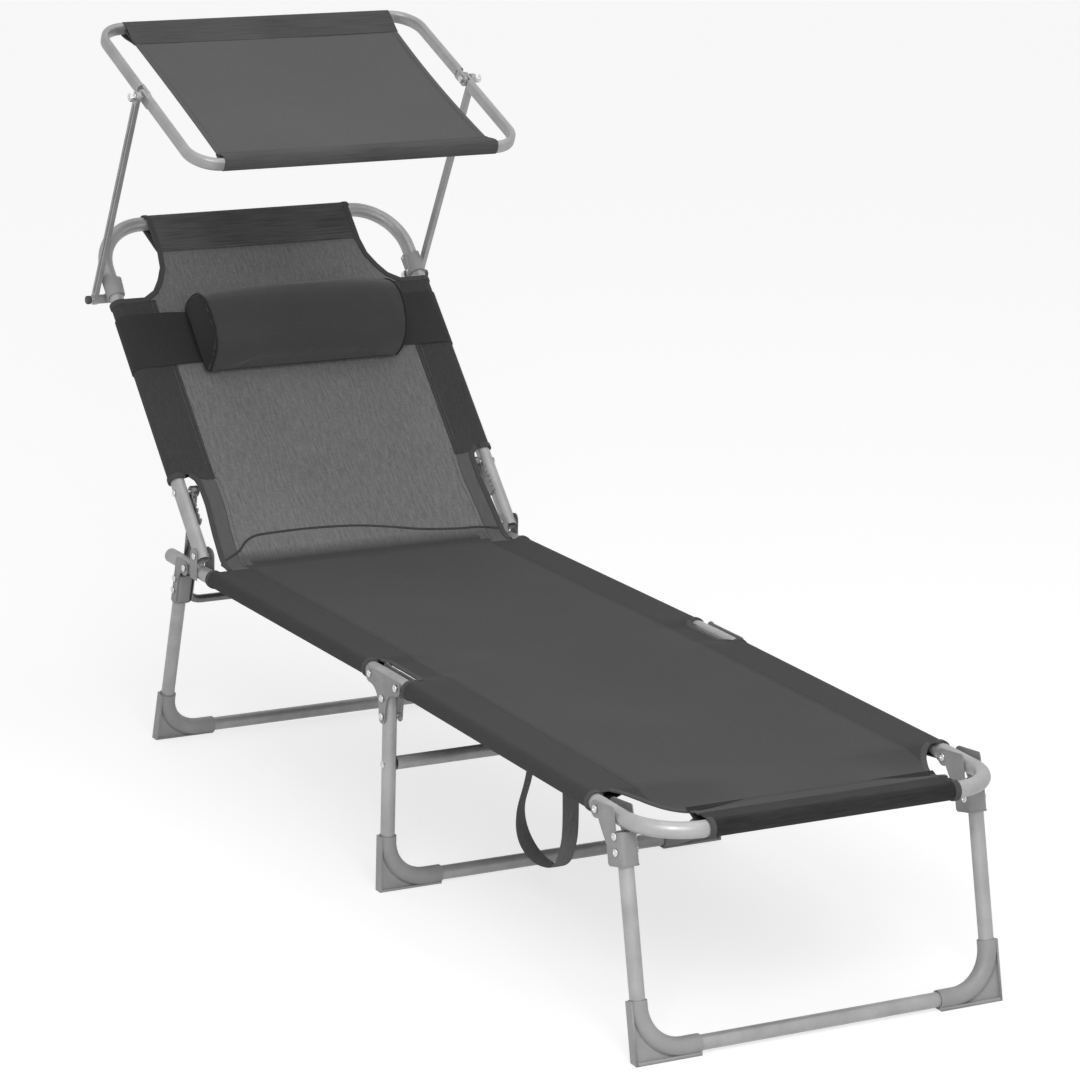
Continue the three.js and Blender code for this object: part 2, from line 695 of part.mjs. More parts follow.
function canopyClothHalf(end) {
  const bar = end * canopy.depth;
  const edge = bar - end * (canopyTube.width / 2 + cloth.gap + cloth.thickness / 2);
  const grow = 2 * cloth.gap;
  const wrap = grow + 2 * cloth.thickness;
  const loopShape = ringShape(
    ovalPoints(canopyTube.width + wrap, canopyTube.height + wrap, canopyTube.endSteps),
    ovalPoints(canopyTube.width + grow, canopyTube.height + grow, canopyTube.endSteps),
  );
  const loop = plateXZ(loopShape, -canopyCloth.halfWidth, canopyCloth.halfWidth);
  loop.translate(bar, 0, 0);
  const seam = (end * clearance.fold) / 2;
  const outline = mirroredShape(arcBetween([seam, canopyCloth.halfWidth - canopyCloth.sideDip],
    [edge, canopyCloth.halfWidth], [0, -canopyCloth.sideDip / 2], facets.hoodEdge));
  return join(loop, sheet(outline, -cloth.thickness / 2, cloth.thickness));
}

// Legs, drawn upright on their own base and tilted afterwards, with the rivets that hold their plates
function legFrame(lean, top, rivetHeights) {
  const low = leg.axisHeight / Math.cos(lean);
  const run = [
    [-leg.spread, top], [-leg.spread, low], [leg.spread, low], [leg.spread, top],
  ].map(([y, z]) => new THREE.Vector3(0, y, z));
  const section = ringShape(
    circlePoints(leg.radius, tube.sides),
    circlePoints(leg.radius - tube.wall, tube.sides),
  );
  const rivets = rivetHeights.flatMap((height) => sides.map(
    ([, side]) => rivetPin(side, flank.innerFar, flank.outerFar, 0, height)));
  return join(sweep(section, roundedStations(run, leg.bendRadius, tube.bendSteps)), ...rivets);
}

function legTop(spec) {
  const lean = Math.abs(rad(spec.tilt));
  return (spec.pivot.z - tube.radius - leg.headGap) / Math.cos(lean) - leg.radius * Math.tan(lean);
}

// Height just below the rail, in the leg's frame, at a distance from the pivot towards the leg
function underRail(spec, across) {
  const lean = Math.abs(rad(spec.tilt));
  return -(tube.radius + leg.headGap + across * Math.sin(lean)) / Math.cos(lean);
}

// Outline of a bracket plate; a notched one stays below the bend of the rail
function bracketOutline(spec, place, notched) {
  const halfWidth = leg.radius + clearance.seat + plate.thickness;
  const near = spec.pivotOffset - spec.skirt;
  const far = spec.pivotOffset + halfWidth;
  const { eye, drop } = legBracket;
  const crown = notched
    ? [place(far, underRail(spec, far)), place(near, underRail(spec, near))]
    : cornerArc(place, [far, -halfWidth], [spec.pivotOffset, eye / 2], [far, eye / 2]);
  const eyeStart = notched ? rad(legBracket.notchAngle) : Math.PI / 2;
  return new THREE.Shape([
    place(near, -drop), place(far, -drop), ...crown,
    ...arcPoints(place, eye, eyeStart, -Math.PI / 2, facets.eye),
    ...cornerArc(place, [eye / 2, -eye], [near, spec.neck.end], [spec.neck.across, spec.neck.up]),
  ]);
}

function legBracketPiece(spec, side) {
  const away = -spec.pivotSide;
  const origin = { x: spec.pivotSide * spec.pivotOffset, z: spec.pivot.up };
  const place = (across, up) => new THREE.Vector2(origin.x + away * across, origin.z + up);
  const inside = spec.pivotOffset + spec.webSide * (leg.radius + clearance.seat);
  const outside = inside + spec.webSide * plate.thickness;
  const top = underRail(spec, Math.max(inside, outside));
  const web = new THREE.Shape([
    place(inside, -legBracket.drop), place(outside, -legBracket.drop),
    place(outside, top), place(inside, top),
  ]);
  const rivetHoles = legBracket.rivetDrops.map((drop) => sideCutter(
    rivet.hole, side, flank.innerFar, flank.outerFar, 0, origin.z - drop));
  const outer = bracketOutline(spec, place, false);
  const inner = bracketOutline(spec, place, spec.notched);
  return cut(
    join(
      sidePlate(outer, side, flank.outerNear, flank.outerFar),
      sidePlate(inner, side, flank.innerFar, flank.innerNear),
      sidePlate(web, side, flank.innerFar, flank.outerFar),
    ),
    sideCutter(rivet.hole, side, flank.innerFar, flank.outerFar, origin.x, origin.z), ...rivetHoles,
  );
}

// Points round an eye on the pivot, on the side away from the leg
function arcPoints(place, radius, start, end, steps) {
  const points = [];
  for (let i = 0; i <= steps; i += 1) {
    const angle = start + ((end - start) * i) / steps;
    points.push(place(-radius * Math.cos(angle), radius * Math.sin(angle)));
  }
  return points;
}

function cornerArc(place, from, to, control) {
  const curve = new THREE.QuadraticBezierCurve(
    new THREE.Vector2(...from), new THREE.Vector2(...control), new THREE.Vector2(...to));
  return curve.getPoints(facets.corner).map((point) => place(point.x, point.y));
}

// A foot wraps the bend of a leg tube, with a web and a rim out to the corner on the floor
function footPiece(spec, side) {
  const lean = rad(spec.tilt);
  const low = leg.axisHeight / Math.cos(lean);
  const run = [
    [leg.spread, foot.upright], [leg.spread, low], [foot.outer - foot.along, low],
  ].map(([y, z]) => new THREE.Vector3(0, side * y, z));
  const stations = roundedStations(run, leg.bendRadius, tube.bendSteps);
  const sleeve = sweep(circle(foot.sleeve), stations);
  const longer = extendEnds(stations, clearance.cutOverrun);
  const bore = sweep(circle(leg.radius + clearance.fit), longer);
  const floorSink = foot.rimWidth / 2 * Math.abs(Math.tan(lean));
  const web = footWeb(side, low, floorSink);
  const rims = footRim(side, floorSink);
  const floor = new THREE.BoxGeometry(2 * foot.along, 2 * foot.along, foot.along);
  floor.translate(0, side * leg.spread, -foot.along / 2);
  floor.rotateY(-lean);
  return cut(join(sleeve, web, ...rims), bore, floor);
}

function extendEnds(stations, reach) {
  const first = stations[0].clone().sub(stations[1]).normalize();
  const last = stations[stations.length - 1].clone().sub(stations[stations.length - 2]).normalize();
  const longer = stations.map((point) => point.clone());
  longer[0].addScaledVector(first, reach);
  longer[longer.length - 1].addScaledVector(last, reach);
  return longer;
}

// Thin web between the bend and the outer corner, drawn in Y and Z
function footWeb(side, low, sink) {
  const { outer, along, upright } = foot;
  const points = [
    [outer - along, -sink], [outer, -sink], [outer, upright], [leg.spread, upright],
    [leg.spread, low + leg.bendRadius], [leg.spread - leg.bendRadius, low], [outer - along, low],
  ];
  return slabYZ(points, side, foot.web);
}

function footRim(side, sink) {
  const { outer, along, upright, rim } = foot;
  const wall = [[outer - rim, -sink], [outer, -sink], [outer, upright], [outer - rim, upright]];
  const sole = [[outer - along, -sink], [outer, -sink], [outer, rim], [outer - along, rim]];
  return [slabYZ(wall, side, foot.rimWidth), slabYZ(sole, side, foot.rimWidth)];
}

function slabYZ(points, side, width) {
  const shape = new THREE.Shape(points.map(([y, z]) => new THREE.Vector2(side * y, z)));
  const geometry = new THREE.ExtrudeGeometry(shape, { depth: width, bevelEnabled: false });
  geometry.rotateX(Math.PI / 2);
  geometry.rotateZ(Math.PI / 2);
  geometry.translate(-width / 2, 0, 0);
  return geometry;
}

// Middle leg: its top is scalloped so that both rail stubs can swing past it
function midLegFrame() {
  const top = rail.height - tube.radius - clearance.slide;
  const stub = midBracket.pivotReach;
  const sweepRadius = Math.hypot(stub, tube.radius) + clearance.slide;
  const span = [rail.spread - 2 * tube.radius, rail.spread + 2 * tube.radius];
  const scallops = [-stub, stub].flatMap((x) => sides.map(([, side]) => crossPin(
    sweepRadius, ...ordered(side * span[0], side * span[1]), x, midPivots.z, midBracket.scallopSides)));
  const rivets = midBracket.rivetDrops.map((drop) => rail.height - drop);
  return cut(legFrame(0, top, rivets), ...scallops);
}

function midCrossbar() {
  const shape = ringShape(
    circlePoints(midLeg.crossbarRadius, tube.sides),
    circlePoints(midLeg.crossbarRadius - tube.wall, tube.sides),
  );
  const reach = leg.spread - leg.radius - clearance.seat;
  return sweep(shape, [
    new THREE.Vector3(0, -reach, midLeg.crossbarHeight),
    new THREE.Vector3(0, reach, midLeg.crossbarHeight),
  ]);
}

function midBracketShape() {
  const { pivotReach, eye, drop, tip } = midBracket;
  const up = midPivots.z;
  const shoulder = rad(midBracket.shoulder);
  const shape = new THREE.Shape();
  shape.moveTo(-tip, up - drop);
  shape.absarc(0, up - drop, tip, Math.PI, 2 * Math.PI, false);
  shape.quadraticCurveTo(tip, up - eye, pivotReach, up - eye);
  shape.absarc(pivotReach, up, eye, -Math.PI / 2, shoulder, false);
  shape.lineTo(eye * Math.cos(shoulder) - pivotReach, up + eye * Math.sin(shoulder));
  shape.absarc(-pivotReach, up, eye, shoulder, (3 * Math.PI) / 2, false);
  shape.quadraticCurveTo(-tip, up - eye, -tip, up - drop);
  return shape;
}

function midBracketPlate(side, near, far) {
  const holes = [-midBracket.pivotReach, midBracket.pivotReach].map(
    (x) => sideCutter(rivet.hole, side, near, far, x, midPivots.z));
  const rivetHoles = midBracket.rivetDrops.map(
    (drop) => sideCutter(rivet.hole, side, near, far, 0, midPivots.z - drop));
  return cut(sidePlate(midBracketShape(), side, near, far, facets.smallPlate), ...holes, ...rivetHoles);
}

// Foot section
function footFrame() {
  const start = midLeg.base + clearance.seam / 2;
  const run = [
    [start, -rail.spread], [footSection.crossTube, -rail.spread],
    [footSection.crossTube, rail.spread], [start, rail.spread],
  ].map(([x, y]) => new THREE.Vector3(x, y, rail.height));
  const frame = sweep(tubeShape, roundedStations(run, footSection.bendRadius, tube.bendSteps));
  const cutters = sides.flatMap(([, side]) => [
    sideCutter(rivet.hole, side, ...tubeSpan(), midPivots.foot, midPivots.z),
    sideCutter(rivet.hole, side, ...tubeSpan(), frontHole.x, frontHole.z),
  ]);
  return cut(frame, ...cutters);
}

// A loop of webbing that hangs below the foot section's cloth
function carryStrap() {
  const top = rail.height + sleeveInner - clearance.seat;
  const bends = strap.bendsAlong.map((along, i) => {
    return new THREE.Vector3(strap.rear + along, 0, top - strap.drop * strap.dropShares[i]);
  });
  const ends = [strap.rear, strap.front].map((x) => new THREE.Vector3(x, 0, top));
  const curve = new THREE.CatmullRomCurve3([ends[0], ...bends, ends[1]]);
  const line = curve.getPoints(facets.strap);
  const half = strap.thickness / 2;
  const sidesOf = line.map((point, i) => {
    const before = line[Math.max(i - 1, 0)];
    const after = line[Math.min(i + 1, line.length - 1)];
    const along = after.clone().sub(before).normalize();
    const level = i === 0 || i === line.length - 1;
    const normal = level ? new THREE.Vector2(Math.sign(-along.z), 0) : new THREE.Vector2(-along.z, along.x);
    return { point: new THREE.Vector2(point.x, point.z), normal };
  });
  const outer = sidesOf.map(({ point, normal }) => point.clone().addScaledVector(normal, half));
  const inner = sidesOf.map(({ point, normal }) => point.clone().addScaledVector(normal, -half));
  const shape = new THREE.Shape([...outer, ...inner.reverse()]);
  return plateXZ(shape, strap.place - strap.width / 2, strap.place + strap.width / 2);
}

// Assembly
function seatSection() {
  const group = new THREE.Group();
  for (const [label, side] of sides) {
    const { outerNear, outerFar, innerNear, innerFar } = hingeFlank;
    const outer = hingeSide(side, hingePlate.front, outerNear, outerFar);
    const inner = hingeSide(side, hingePlate.innerFront, innerNear, innerFar);
    group.add(
      named(`rail_${label}`, sideRail(side), steel),
      named(`rail_cap_${label}`, railEndCap(side), plastic),
      named(`hinge_plate_outer_${label}`, outer, pressed),
      named(`hinge_plate_inner_${label}`, inner, pressed),
      named(`hinge_pin_${label}`, rivetPin(side, innerFar, outerFar, hinge.x, hinge.z), zinc),
    );
  }
  group.add(named('seat_fabric', seatClothPiece(), sling));
  return seatSlope.tilt(group);
}

// The fold line as it lies on the sloping seat
const fold = seatSlope.placed(hinge.x, hinge.z);

function backrestSection() {
  const group = new THREE.Group();
  group.position.set(fold.x, 0, fold.z);
  group.rotation.y = rad(recline.tilt);
  group.add(
    named('backrest_frame', backrestBow(), steel),
    named('backrest_fabric', backClothPiece(), mesh),
    named('headrest_band', headrestBand(), padding),
    named('headrest_pillow', headrestCushion(), padding),
  );
  const propGroup = new THREE.Group();
  propGroup.position.set(-prop.pivot, 0, 0);
  propGroup.add(named('prop_bow', propBow(), steel));
  group.add(propGroup);
  for (const [label, side] of sides) {
    const near = prop.spread - prop.radius;
    group.add(
      named(`prop_pin_${label}`, rivetPin(side, near, rail.spread + tube.radius, -prop.pivot, 0), zinc),
      named(`canopy_collar_${label}`, collarPiece(side), plastic),
    );
  }
  return group;
}

function canopySection() {
  const group = new THREE.Group();
  const lean = rad(recline.tilt);
  group.position.set(
    fold.x - collarPlace.bolt * Math.cos(lean) - collar.boltBehind * Math.sin(lean), 0,
    fold.z + collarPlace.bolt * Math.sin(lean) - collar.boltBehind * Math.cos(lean));
  const armGroup = new THREE.Group();
  armGroup.rotation.y = -rad(arm.angle);
  const far = arm.inner + arm.thickness;
  const bossNear = rail.spread - collar.ear / 2;
  const lapNear = canopy.spread - canopyTube.width / 2;
  for (const [label, side] of sides) {
    armGroup.add(named(`canopy_arm_${label}`, canopyArm(side), steel));
    group.add(named(`lower_screw_${label}`, thumbScrew(side, bossNear, far, 0, 0), zinc));
  }
  group.add(armGroup);
  const hood = new THREE.Group();
  const rise = rad(arm.angle);
  hood.position.set(arm.length * Math.cos(rise), 0, arm.length * Math.sin(rise));
  hood.rotation.y = rad(canopy.tilt);
  hood.add(
    named('canopy_frame_rear', canopyBow(-1), steel),
    named('canopy_frame_front', canopyBow(1), steel),
    named('canopy_fabric_rear', canopyClothHalf(-1), sling),
    named('canopy_fabric_front', canopyClothHalf(1), sling),
  );
  for (const [label, side] of sides) {
    hood.add(named(`upper_screw_${label}`, thumbScrew(side, lapNear, far, 0, 0), zinc));
  }
  group.add(hood);
  return group;
}

function tiltedLeg(label, spec) {
  const group = new THREE.Group();
  group.position.set(spec.base, 0, 0);
  group.rotation.y = rad(spec.tilt);
  const rivets = legBracket.rivetDrops.map((drop) => spec.pivot.up - drop);
  const frame = legFrame(rad(spec.tilt), legTop(spec), rivets);
  group.add(named(`${label}_leg_frame`, frame, steel));
  for (const [hand, side] of sides) {
    group.add(
      named(`${label}_leg_bracket_${hand}`, legBracketPiece(spec, side), pressed),
      named(`${label}_foot_${hand}`, footPiece(spec, side), plastic),
      named(`${label}_leg_pin_${hand}`, rivetPin(side, flank.innerFar, flank.outerFar,
        spec.pivotSide * spec.pivotOffset, spec.pivot.up), zinc),
    );
  }
  return group;
}

function middleLeg() {
  const group = new THREE.Group();
  group.position.x = midLeg.base;
  const { outerNear, outerFar, innerNear, innerFar } = flank;
  group.add(
    named('mid_leg_frame', midLegFrame(), steel),
    named('mid_leg_crossbar', midCrossbar(), steel),
  );
  for (const [label, side] of sides) {
    group.add(
      named(`mid_bracket_outer_${label}`, midBracketPlate(side, outerNear, outerFar), pressed),
      named(`mid_bracket_inner_${label}`, midBracketPlate(side, innerFar, innerNear), pressed),
      named(`mid_foot_${label}`, footPiece({ tilt: 0 }, side), plastic),
      named(`seat_pivot_pin_${label}`, rivetPin(side, innerFar, outerFar,
        -midBracket.pivotReach, midPivots.z), zinc),
      named(`foot_pivot_pin_${label}`, rivetPin(side, innerFar, outerFar,
        midBracket.pivotReach, midPivots.z), zinc),
    );
  }
  return group;
}

function footPart() {
  const group = new THREE.Group();
  group.add(
    named('foot_frame', footFrame(), steel),
    named('foot_fabric', footClothPiece(), sling),
    named('carry_strap', carryStrap(), padding),
  );
  return footSlope.tilt(group);
}

const lounger = new THREE.Group();
lounger.add(
  seatSection(), backrestSection(), canopySection(),
  tiltedLeg('rear', rearStand), middleLeg(), footPart(), tiltedLeg('front', frontStand),
);

// The origin moves to the middle of the bounding box, on the floor
lounger.updateMatrixWorld(true);
const bounds = new THREE.Box3().setFromObject(lounger, true);
lounger.position.set(-(bounds.min.x + bounds.max.x) / 2, -(bounds.min.y + bounds.max.y) / 2, -bounds.min.z);
lounger.updateMatrixWorld(true);

export default lounger;
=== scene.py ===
"""Looks of a folding sun lounger with a canopy. Metres, +X from head to foot, +Z up."""
import json
import math
from types import SimpleNamespace as Sizes

import bmesh
import bpy
from mathutils import Matrix, Vector, noise
from mathutils.bvhtree import BVHTree


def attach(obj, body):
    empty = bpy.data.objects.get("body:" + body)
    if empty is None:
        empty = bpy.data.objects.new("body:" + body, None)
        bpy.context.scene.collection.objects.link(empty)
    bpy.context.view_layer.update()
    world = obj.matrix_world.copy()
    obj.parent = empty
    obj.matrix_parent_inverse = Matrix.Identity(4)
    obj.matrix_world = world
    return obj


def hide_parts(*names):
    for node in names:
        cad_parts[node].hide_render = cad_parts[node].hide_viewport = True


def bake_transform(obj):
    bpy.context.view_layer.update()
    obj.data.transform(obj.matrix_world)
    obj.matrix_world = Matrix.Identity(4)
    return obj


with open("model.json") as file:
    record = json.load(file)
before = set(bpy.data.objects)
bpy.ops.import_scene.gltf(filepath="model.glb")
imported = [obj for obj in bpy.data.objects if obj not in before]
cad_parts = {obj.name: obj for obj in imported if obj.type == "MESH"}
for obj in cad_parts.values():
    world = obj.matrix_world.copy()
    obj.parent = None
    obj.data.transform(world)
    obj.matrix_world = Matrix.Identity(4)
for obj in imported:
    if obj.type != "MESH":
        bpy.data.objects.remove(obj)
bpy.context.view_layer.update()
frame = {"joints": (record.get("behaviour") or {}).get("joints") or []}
joints = {joint["name"]: joint for joint in frame["joints"]}
SIDES = (("left", -1), ("right", 1))
ACROSS = Vector((0, 1, 0))
UP = Vector((0, 0, 1))


# Places, steps and shares
def pivot(name):
    return Vector(joints[name]["pos_m"])


def even(start, end, count):
    """Evenly spread values, with count steps from start to end."""
    return [start + (end - start) * i / count for i in range(count + 1)]


def stations(start, end, step):
    return even(start, end, max(1, round(abs(end - start) / step)))


def clamped(share):
    return min(max(share, 0.0), 1.0)


def smooth(share):
    share = clamped(share)
    return share * share * (3 - 2 * share)


def rise(place, start, length):
    """0 up to a start, and 1 from a length beyond it."""
    return smooth((place - start) / length)


def on_table(table, place, beyond):
    """The value at a place of a table of pairs, straight between them."""
    for (x1, y1), (x2, y2) in zip(table, table[1:]):
        if place <= x2:
            return y1 + (y2 - y1) * max(place - x1, 0) / (x2 - x1)
    return beyond


def wrinkle(x, y, depth, size):
    return depth * noise.noise(Vector((x / size, y / size, 0.37)))


# Stock and clearances
tube = Sizes(radius=0.011, wall=0.0012)
plate = Sizes(thickness=0.0016, gap=0.0017, bevel=0.0004, lip=0.0013)
cloth = Sizes(thickness=0.0008, level=0.0117, lifted=0.0125, doubled=0.0133, calm=0.05)
clear = Sizes(seat=0.0003, fit=0.0004, seam=0.0006, faces=0.0001)
edges = Sizes(tube=0.0003, shoe=0.0006, collar=0.0005, arm=0.0007, hood=0.0004)

# Frame sections, in places from the fold line on the floor
rail = Sizes(spread=0.260, rear_end=-0.128, cap_flange=0.0026)
middle = Sizes(base=0.607, reach=0.039, drop=0.052, rivets=(0.025, 0.051), tip=0.009, eye=0.012,
               shoulder=60, crossbar_height=0.183, crossbar_radius=0.0095, top_gap=0.0005)
crossbar_head = ((1, -0.0008), (1, 0.0004), (0.8, 0.0014), (0.4, 0.002), (0, 0.0022))
foot_end = Sizes(cross_tube=1.314, bend=0.072)
back = Sizes(length=0.591, tail=0.0085, bend=0.080)
hinge_plate = Sizes(thickness=0.0012, rear=0.014, front=0.009, inner_front=0.019, top=0.012, over=0.001)
prop = Sizes(pivot=0.110, spread=0.239, radius=0.0063, length=0.182, lean=54.9, bend=0.028, eye=0.0085,
             round=0.001)
rear_leg = Sizes(base=-0.156, tilt=14.5, side=1, skirt=0.0119, neck=((0.014, -0.0115), -0.036))
front_leg = Sizes(base=1.310, tilt=-13.3, side=-1, skirt=0.022, neck=((0.010, -0.022), -0.044))
leg = Sizes(radius=0.010, spread=0.2615, axis=0.013, bend=0.058, head_gap=0.0025)
bracket = Sizes(drop=0.070, eye=0.0115, rivets=(0.032, 0.052), corner=0.0092, rim=0.0014, chamfer=0.003,
                rim_below=0.0002, rim_long=1.05, rim_wide=1.04)
foot = Sizes(sleeve=0.0124, upright=0.080, along=0.096, outer=0.275, web=0.006, rim=0.003, width=0.015)
rivet = Sizes(radius=0.003, head=0.0052, height=0.0022, dimple=0.0019)
screw = Sizes(radius=0.003, nut=0.0054, nut_height=0.004, washer=0.0056, knob=0.0062, knob_height=0.008,
              flutes=9, flute_depth=0.0006)
grip_form = ((0, 0), (0.9, 0), (1, 0.15), (1, 0.75), (0.9, 0.95), (0.6, 1), (0, 1))
recline_catch = Sizes(top=0.104, low=0.050, near=-0.007, far=0.007, depth=-0.006, teeth=6, crown=0.0004,
                      flanks=(0.2465, 0.2485), bosses=((0.099, 0.0062), (0.078, 0.0052)),
                      tooth=((0, 0), (0.35, 1), (0.7, 0.8), (0.9, 0)), worn=0.55)

# Canopy
collar = Sizes(start=0.462, length=0.038, wall=0.0024, bolt=0.480, behind=0.031, boss=0.007, ear=0.010,
               slant=0.010, round=0.0006, flange=((0.002, -0.008), (0.002, 0.003), (0.030, 0.008),
                                                  (0.036, 0.002), (0.036, -0.008)),
               flange_sunk=0.001, flange_deep=0.003, heads=((0.008, -0.001), (0.032, -0.001)),
               head=0.0022, head_height=0.0012)
arm = Sizes(length=0.375, angle=64.25, width=0.012, thickness=0.007, end=0.008, inner=0.278, groove=0.0032,
            groove_start=0.016, groove_depth=0.0016)
hood = Sizes(tilt=21.9, spread=0.269, depth=0.200, bend=0.043, width=0.011, height=0.020, lap=0.018,
             tongue=0.013, cloth_half=0.225, dip=0.005, sag=0.007, edge_sag=0.45, wrinkle=(0.0012, 0.11),
             root=0.004, plug=0.0012, plug_fit=1.02, slack=0.0008, opening=0.0012,
             side_hem=(0.008, 0.0019), hem_inset=0.003, hem_over=0.0012)
hood_hems = (("rear", -1, 0.047), ("front", 1, 0.031))

# Sling
seat = Sizes(sleeve_rear=0.028, sleeve_front=0.545, waist=0.2395, hem=0.198, sag=0.004, notch_drop=0.0035,
             corner_drop=0.010, crest=0.0003, hem_lap=0.004, hem_least=0.006, meet=0.0012,
             notch_out=(0.150, 0.080), notch_along=(0.030, 0.035), corner_out=(0.070, 0.110),
             joined=(0.002, 0.030), wrinkle=(0.0006, 0.09), rear_flare=(0.012, 0.03),
             seam_flare=(0.010, 0.022))
foot_cloth = Sizes(sleeve_rear=0.664, sleeve_front=1.172, hem=1.290, front_half=0.184, wrap=0.052,
                   front_flare=(0.006, -0.03), widening=0.012,
                   edge=((1.172, 0.2395), (1.177, 0.232), (1.186, 0.224), (1.200, 0.214), (1.220, 0.203),
                         (1.245, 0.191), (1.268, 0.182), (1.282, 0.179), (1.290, 0.181)))
back_cloth = Sizes(sleeve_start=0.133, sleeve_end=0.441, panel=0.204, top_half=0.173, hem=0.530,
                   waist=0.236, sag=0.006, wrinkle=(0.0007, 0.08), shoulder=(0.012, 0.020),
                   panel_inside=(0.245, -0.020), panel_outside=(0.270, 0.020),
                   low=tuple(zip(even(-0.020, 0.123, 3), (0.240, 0.238, 0.234, 0.235))),
                   edge=((0.441, 0.236), (0.446, 0.221), (0.458, 0.202), (0.477, 0.189), (0.500, 0.178),
                         (0.530, 0.1735), (back.length, 0.173)))
fold_bend = 0.045
arch = Sizes(path=[(-0.232, -0.020), (-0.205, -0.006), (-0.190, 0.008), (-0.173, 0.0163), (-0.150, 0.0187),
                   (-0.095, 0.020), (-0.045, 0.0190), (0.005, 0.0155), (0.052, 0.0075), (0.100, -0.002),
                   (0.160, -0.0085), (0.200, -0.010), (0.232, -0.016)], steps=5, width=0.0038,
             thickness=0.0014)
binding = Sizes(width=0.009, thickness=0.0024)
stitch = Sizes(pitch=0.0040, length=0.003, width=0.0012, height=0.0006)

# Head rest and strap
pillow = Sizes(place=0.363, height=0.138, thickness=0.082, half=0.177, puff=0.009, inset=0.004, reach=0.005,
               piping=(0.004, 0.0028), voxel=0.0045, gather=0.0022, gathered=0.05, pressure=4.0,
               stiffness=12, frames=20)
band = Sizes(place=0.371, width=0.095, rows=9, drawn_in=0.06, bulge=0.0012, off=0.0006)
strap = Sizes(rear=0.784, front=0.862, drop=0.230, place=-0.125, width=0.025, thickness=0.002, turn=36,
              under=0.0014, bends=((-0.024, 0.5), (-0.046, 0.77), (-0.030, 0.93), (0.013, 1), (0.062, 0.965),
                                   (0.084, 0.84), (0.091, 0.62)))

# Frames of the sections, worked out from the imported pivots
FOLD = pivot("backrest_recline")
SEAT_PIVOT = pivot("mid_leg_swing")
FOOT_PIVOT = pivot("foot_section_fold")
SEAM = middle.base
SHIFT = (SEAT_PIVOT.x + FOOT_PIVOT.x) / 2 - SEAM
AXIS_Z = SEAT_PIVOT.z
slide_axis = Vector(joints["headrest_slide"]["axis"])
TILT = math.atan2(slide_axis.z, -slide_axis.x)


def turned_frame(place, angle):
    return Matrix.Translation(place) @ Matrix.Rotation(angle, 4, "Y")


def section_frame(about, outer):
    """A level drawing in places from the fold line, turned about one pivot until it meets the outer one."""
    angle = math.atan((about.z - outer.z) / (outer.x - about.x))
    return turned_frame(about, angle) @ Matrix.Translation((-about.x + SHIFT, 0, -about.z))


def leg_frame(spec):
    return turned_frame(Vector((spec.base + SHIFT, 0, 0)), math.radians(spec.tilt))


def upward(matrix):
    return matrix.to_3x3() @ UP


SEAT = section_frame(SEAT_PIVOT, pivot("rear_leg_fold"))
FOOT = section_frame(FOOT_PIVOT, pivot("front_leg_fold"))
BACK = turned_frame(FOLD, TILT)
ARM = turned_frame(pivot("canopy_swing"), -math.radians(arm.angle))
HOOD = turned_frame(pivot("canopy_tilt"), math.radians(hood.tilt))
PROP = BACK @ Matrix.Translation((-prop.pivot, 0, 0))
MIDDLE = Matrix.Translation((SEAM + SHIFT, 0, 0))


# Materials
def grey(level):
    """The linear value of a grey that shows on a screen as level, from 0 to 255."""
    share = level / 255
    return share / 12.92 if share <= 0.04045 else ((share + 0.055) / 1.055) ** 2.4


def tint(level):
    return (*[grey(level)] * 3, 1)


class Nodes:
    """A node tree and short ways to add to it."""

    def __init__(self, tree):
        self.tree = tree

    def node(self, kind, inputs=(), **settings):
        made = self.tree.nodes.new(kind)
        for key, value in settings.items():
            setattr(made, key, value)
        for key, value in dict(inputs).items():
            self.feed(made.inputs[key], value)
        return made

    def feed(self, socket, value):
        if isinstance(value, bpy.types.NodeSocket):
            self.tree.links.new(value, socket)
        else:
            socket.default_value = value

    def math(self, operation, first, second=0.0):
        return self.node("ShaderNodeMath", {0: first, 1: second}, operation=operation).outputs[0]

    def seen(self):
        """1 on rays that come from the camera, a reflection or glass, and 0 on the rays that light."""
        path = self.node("ShaderNodeLightPath")
        seen = self.math("MAXIMUM", path.outputs["Is Camera Ray"], path.outputs["Is Glossy Ray"])
        return self.math("MAXIMUM", seen, path.outputs["Is Transmission Ray"])


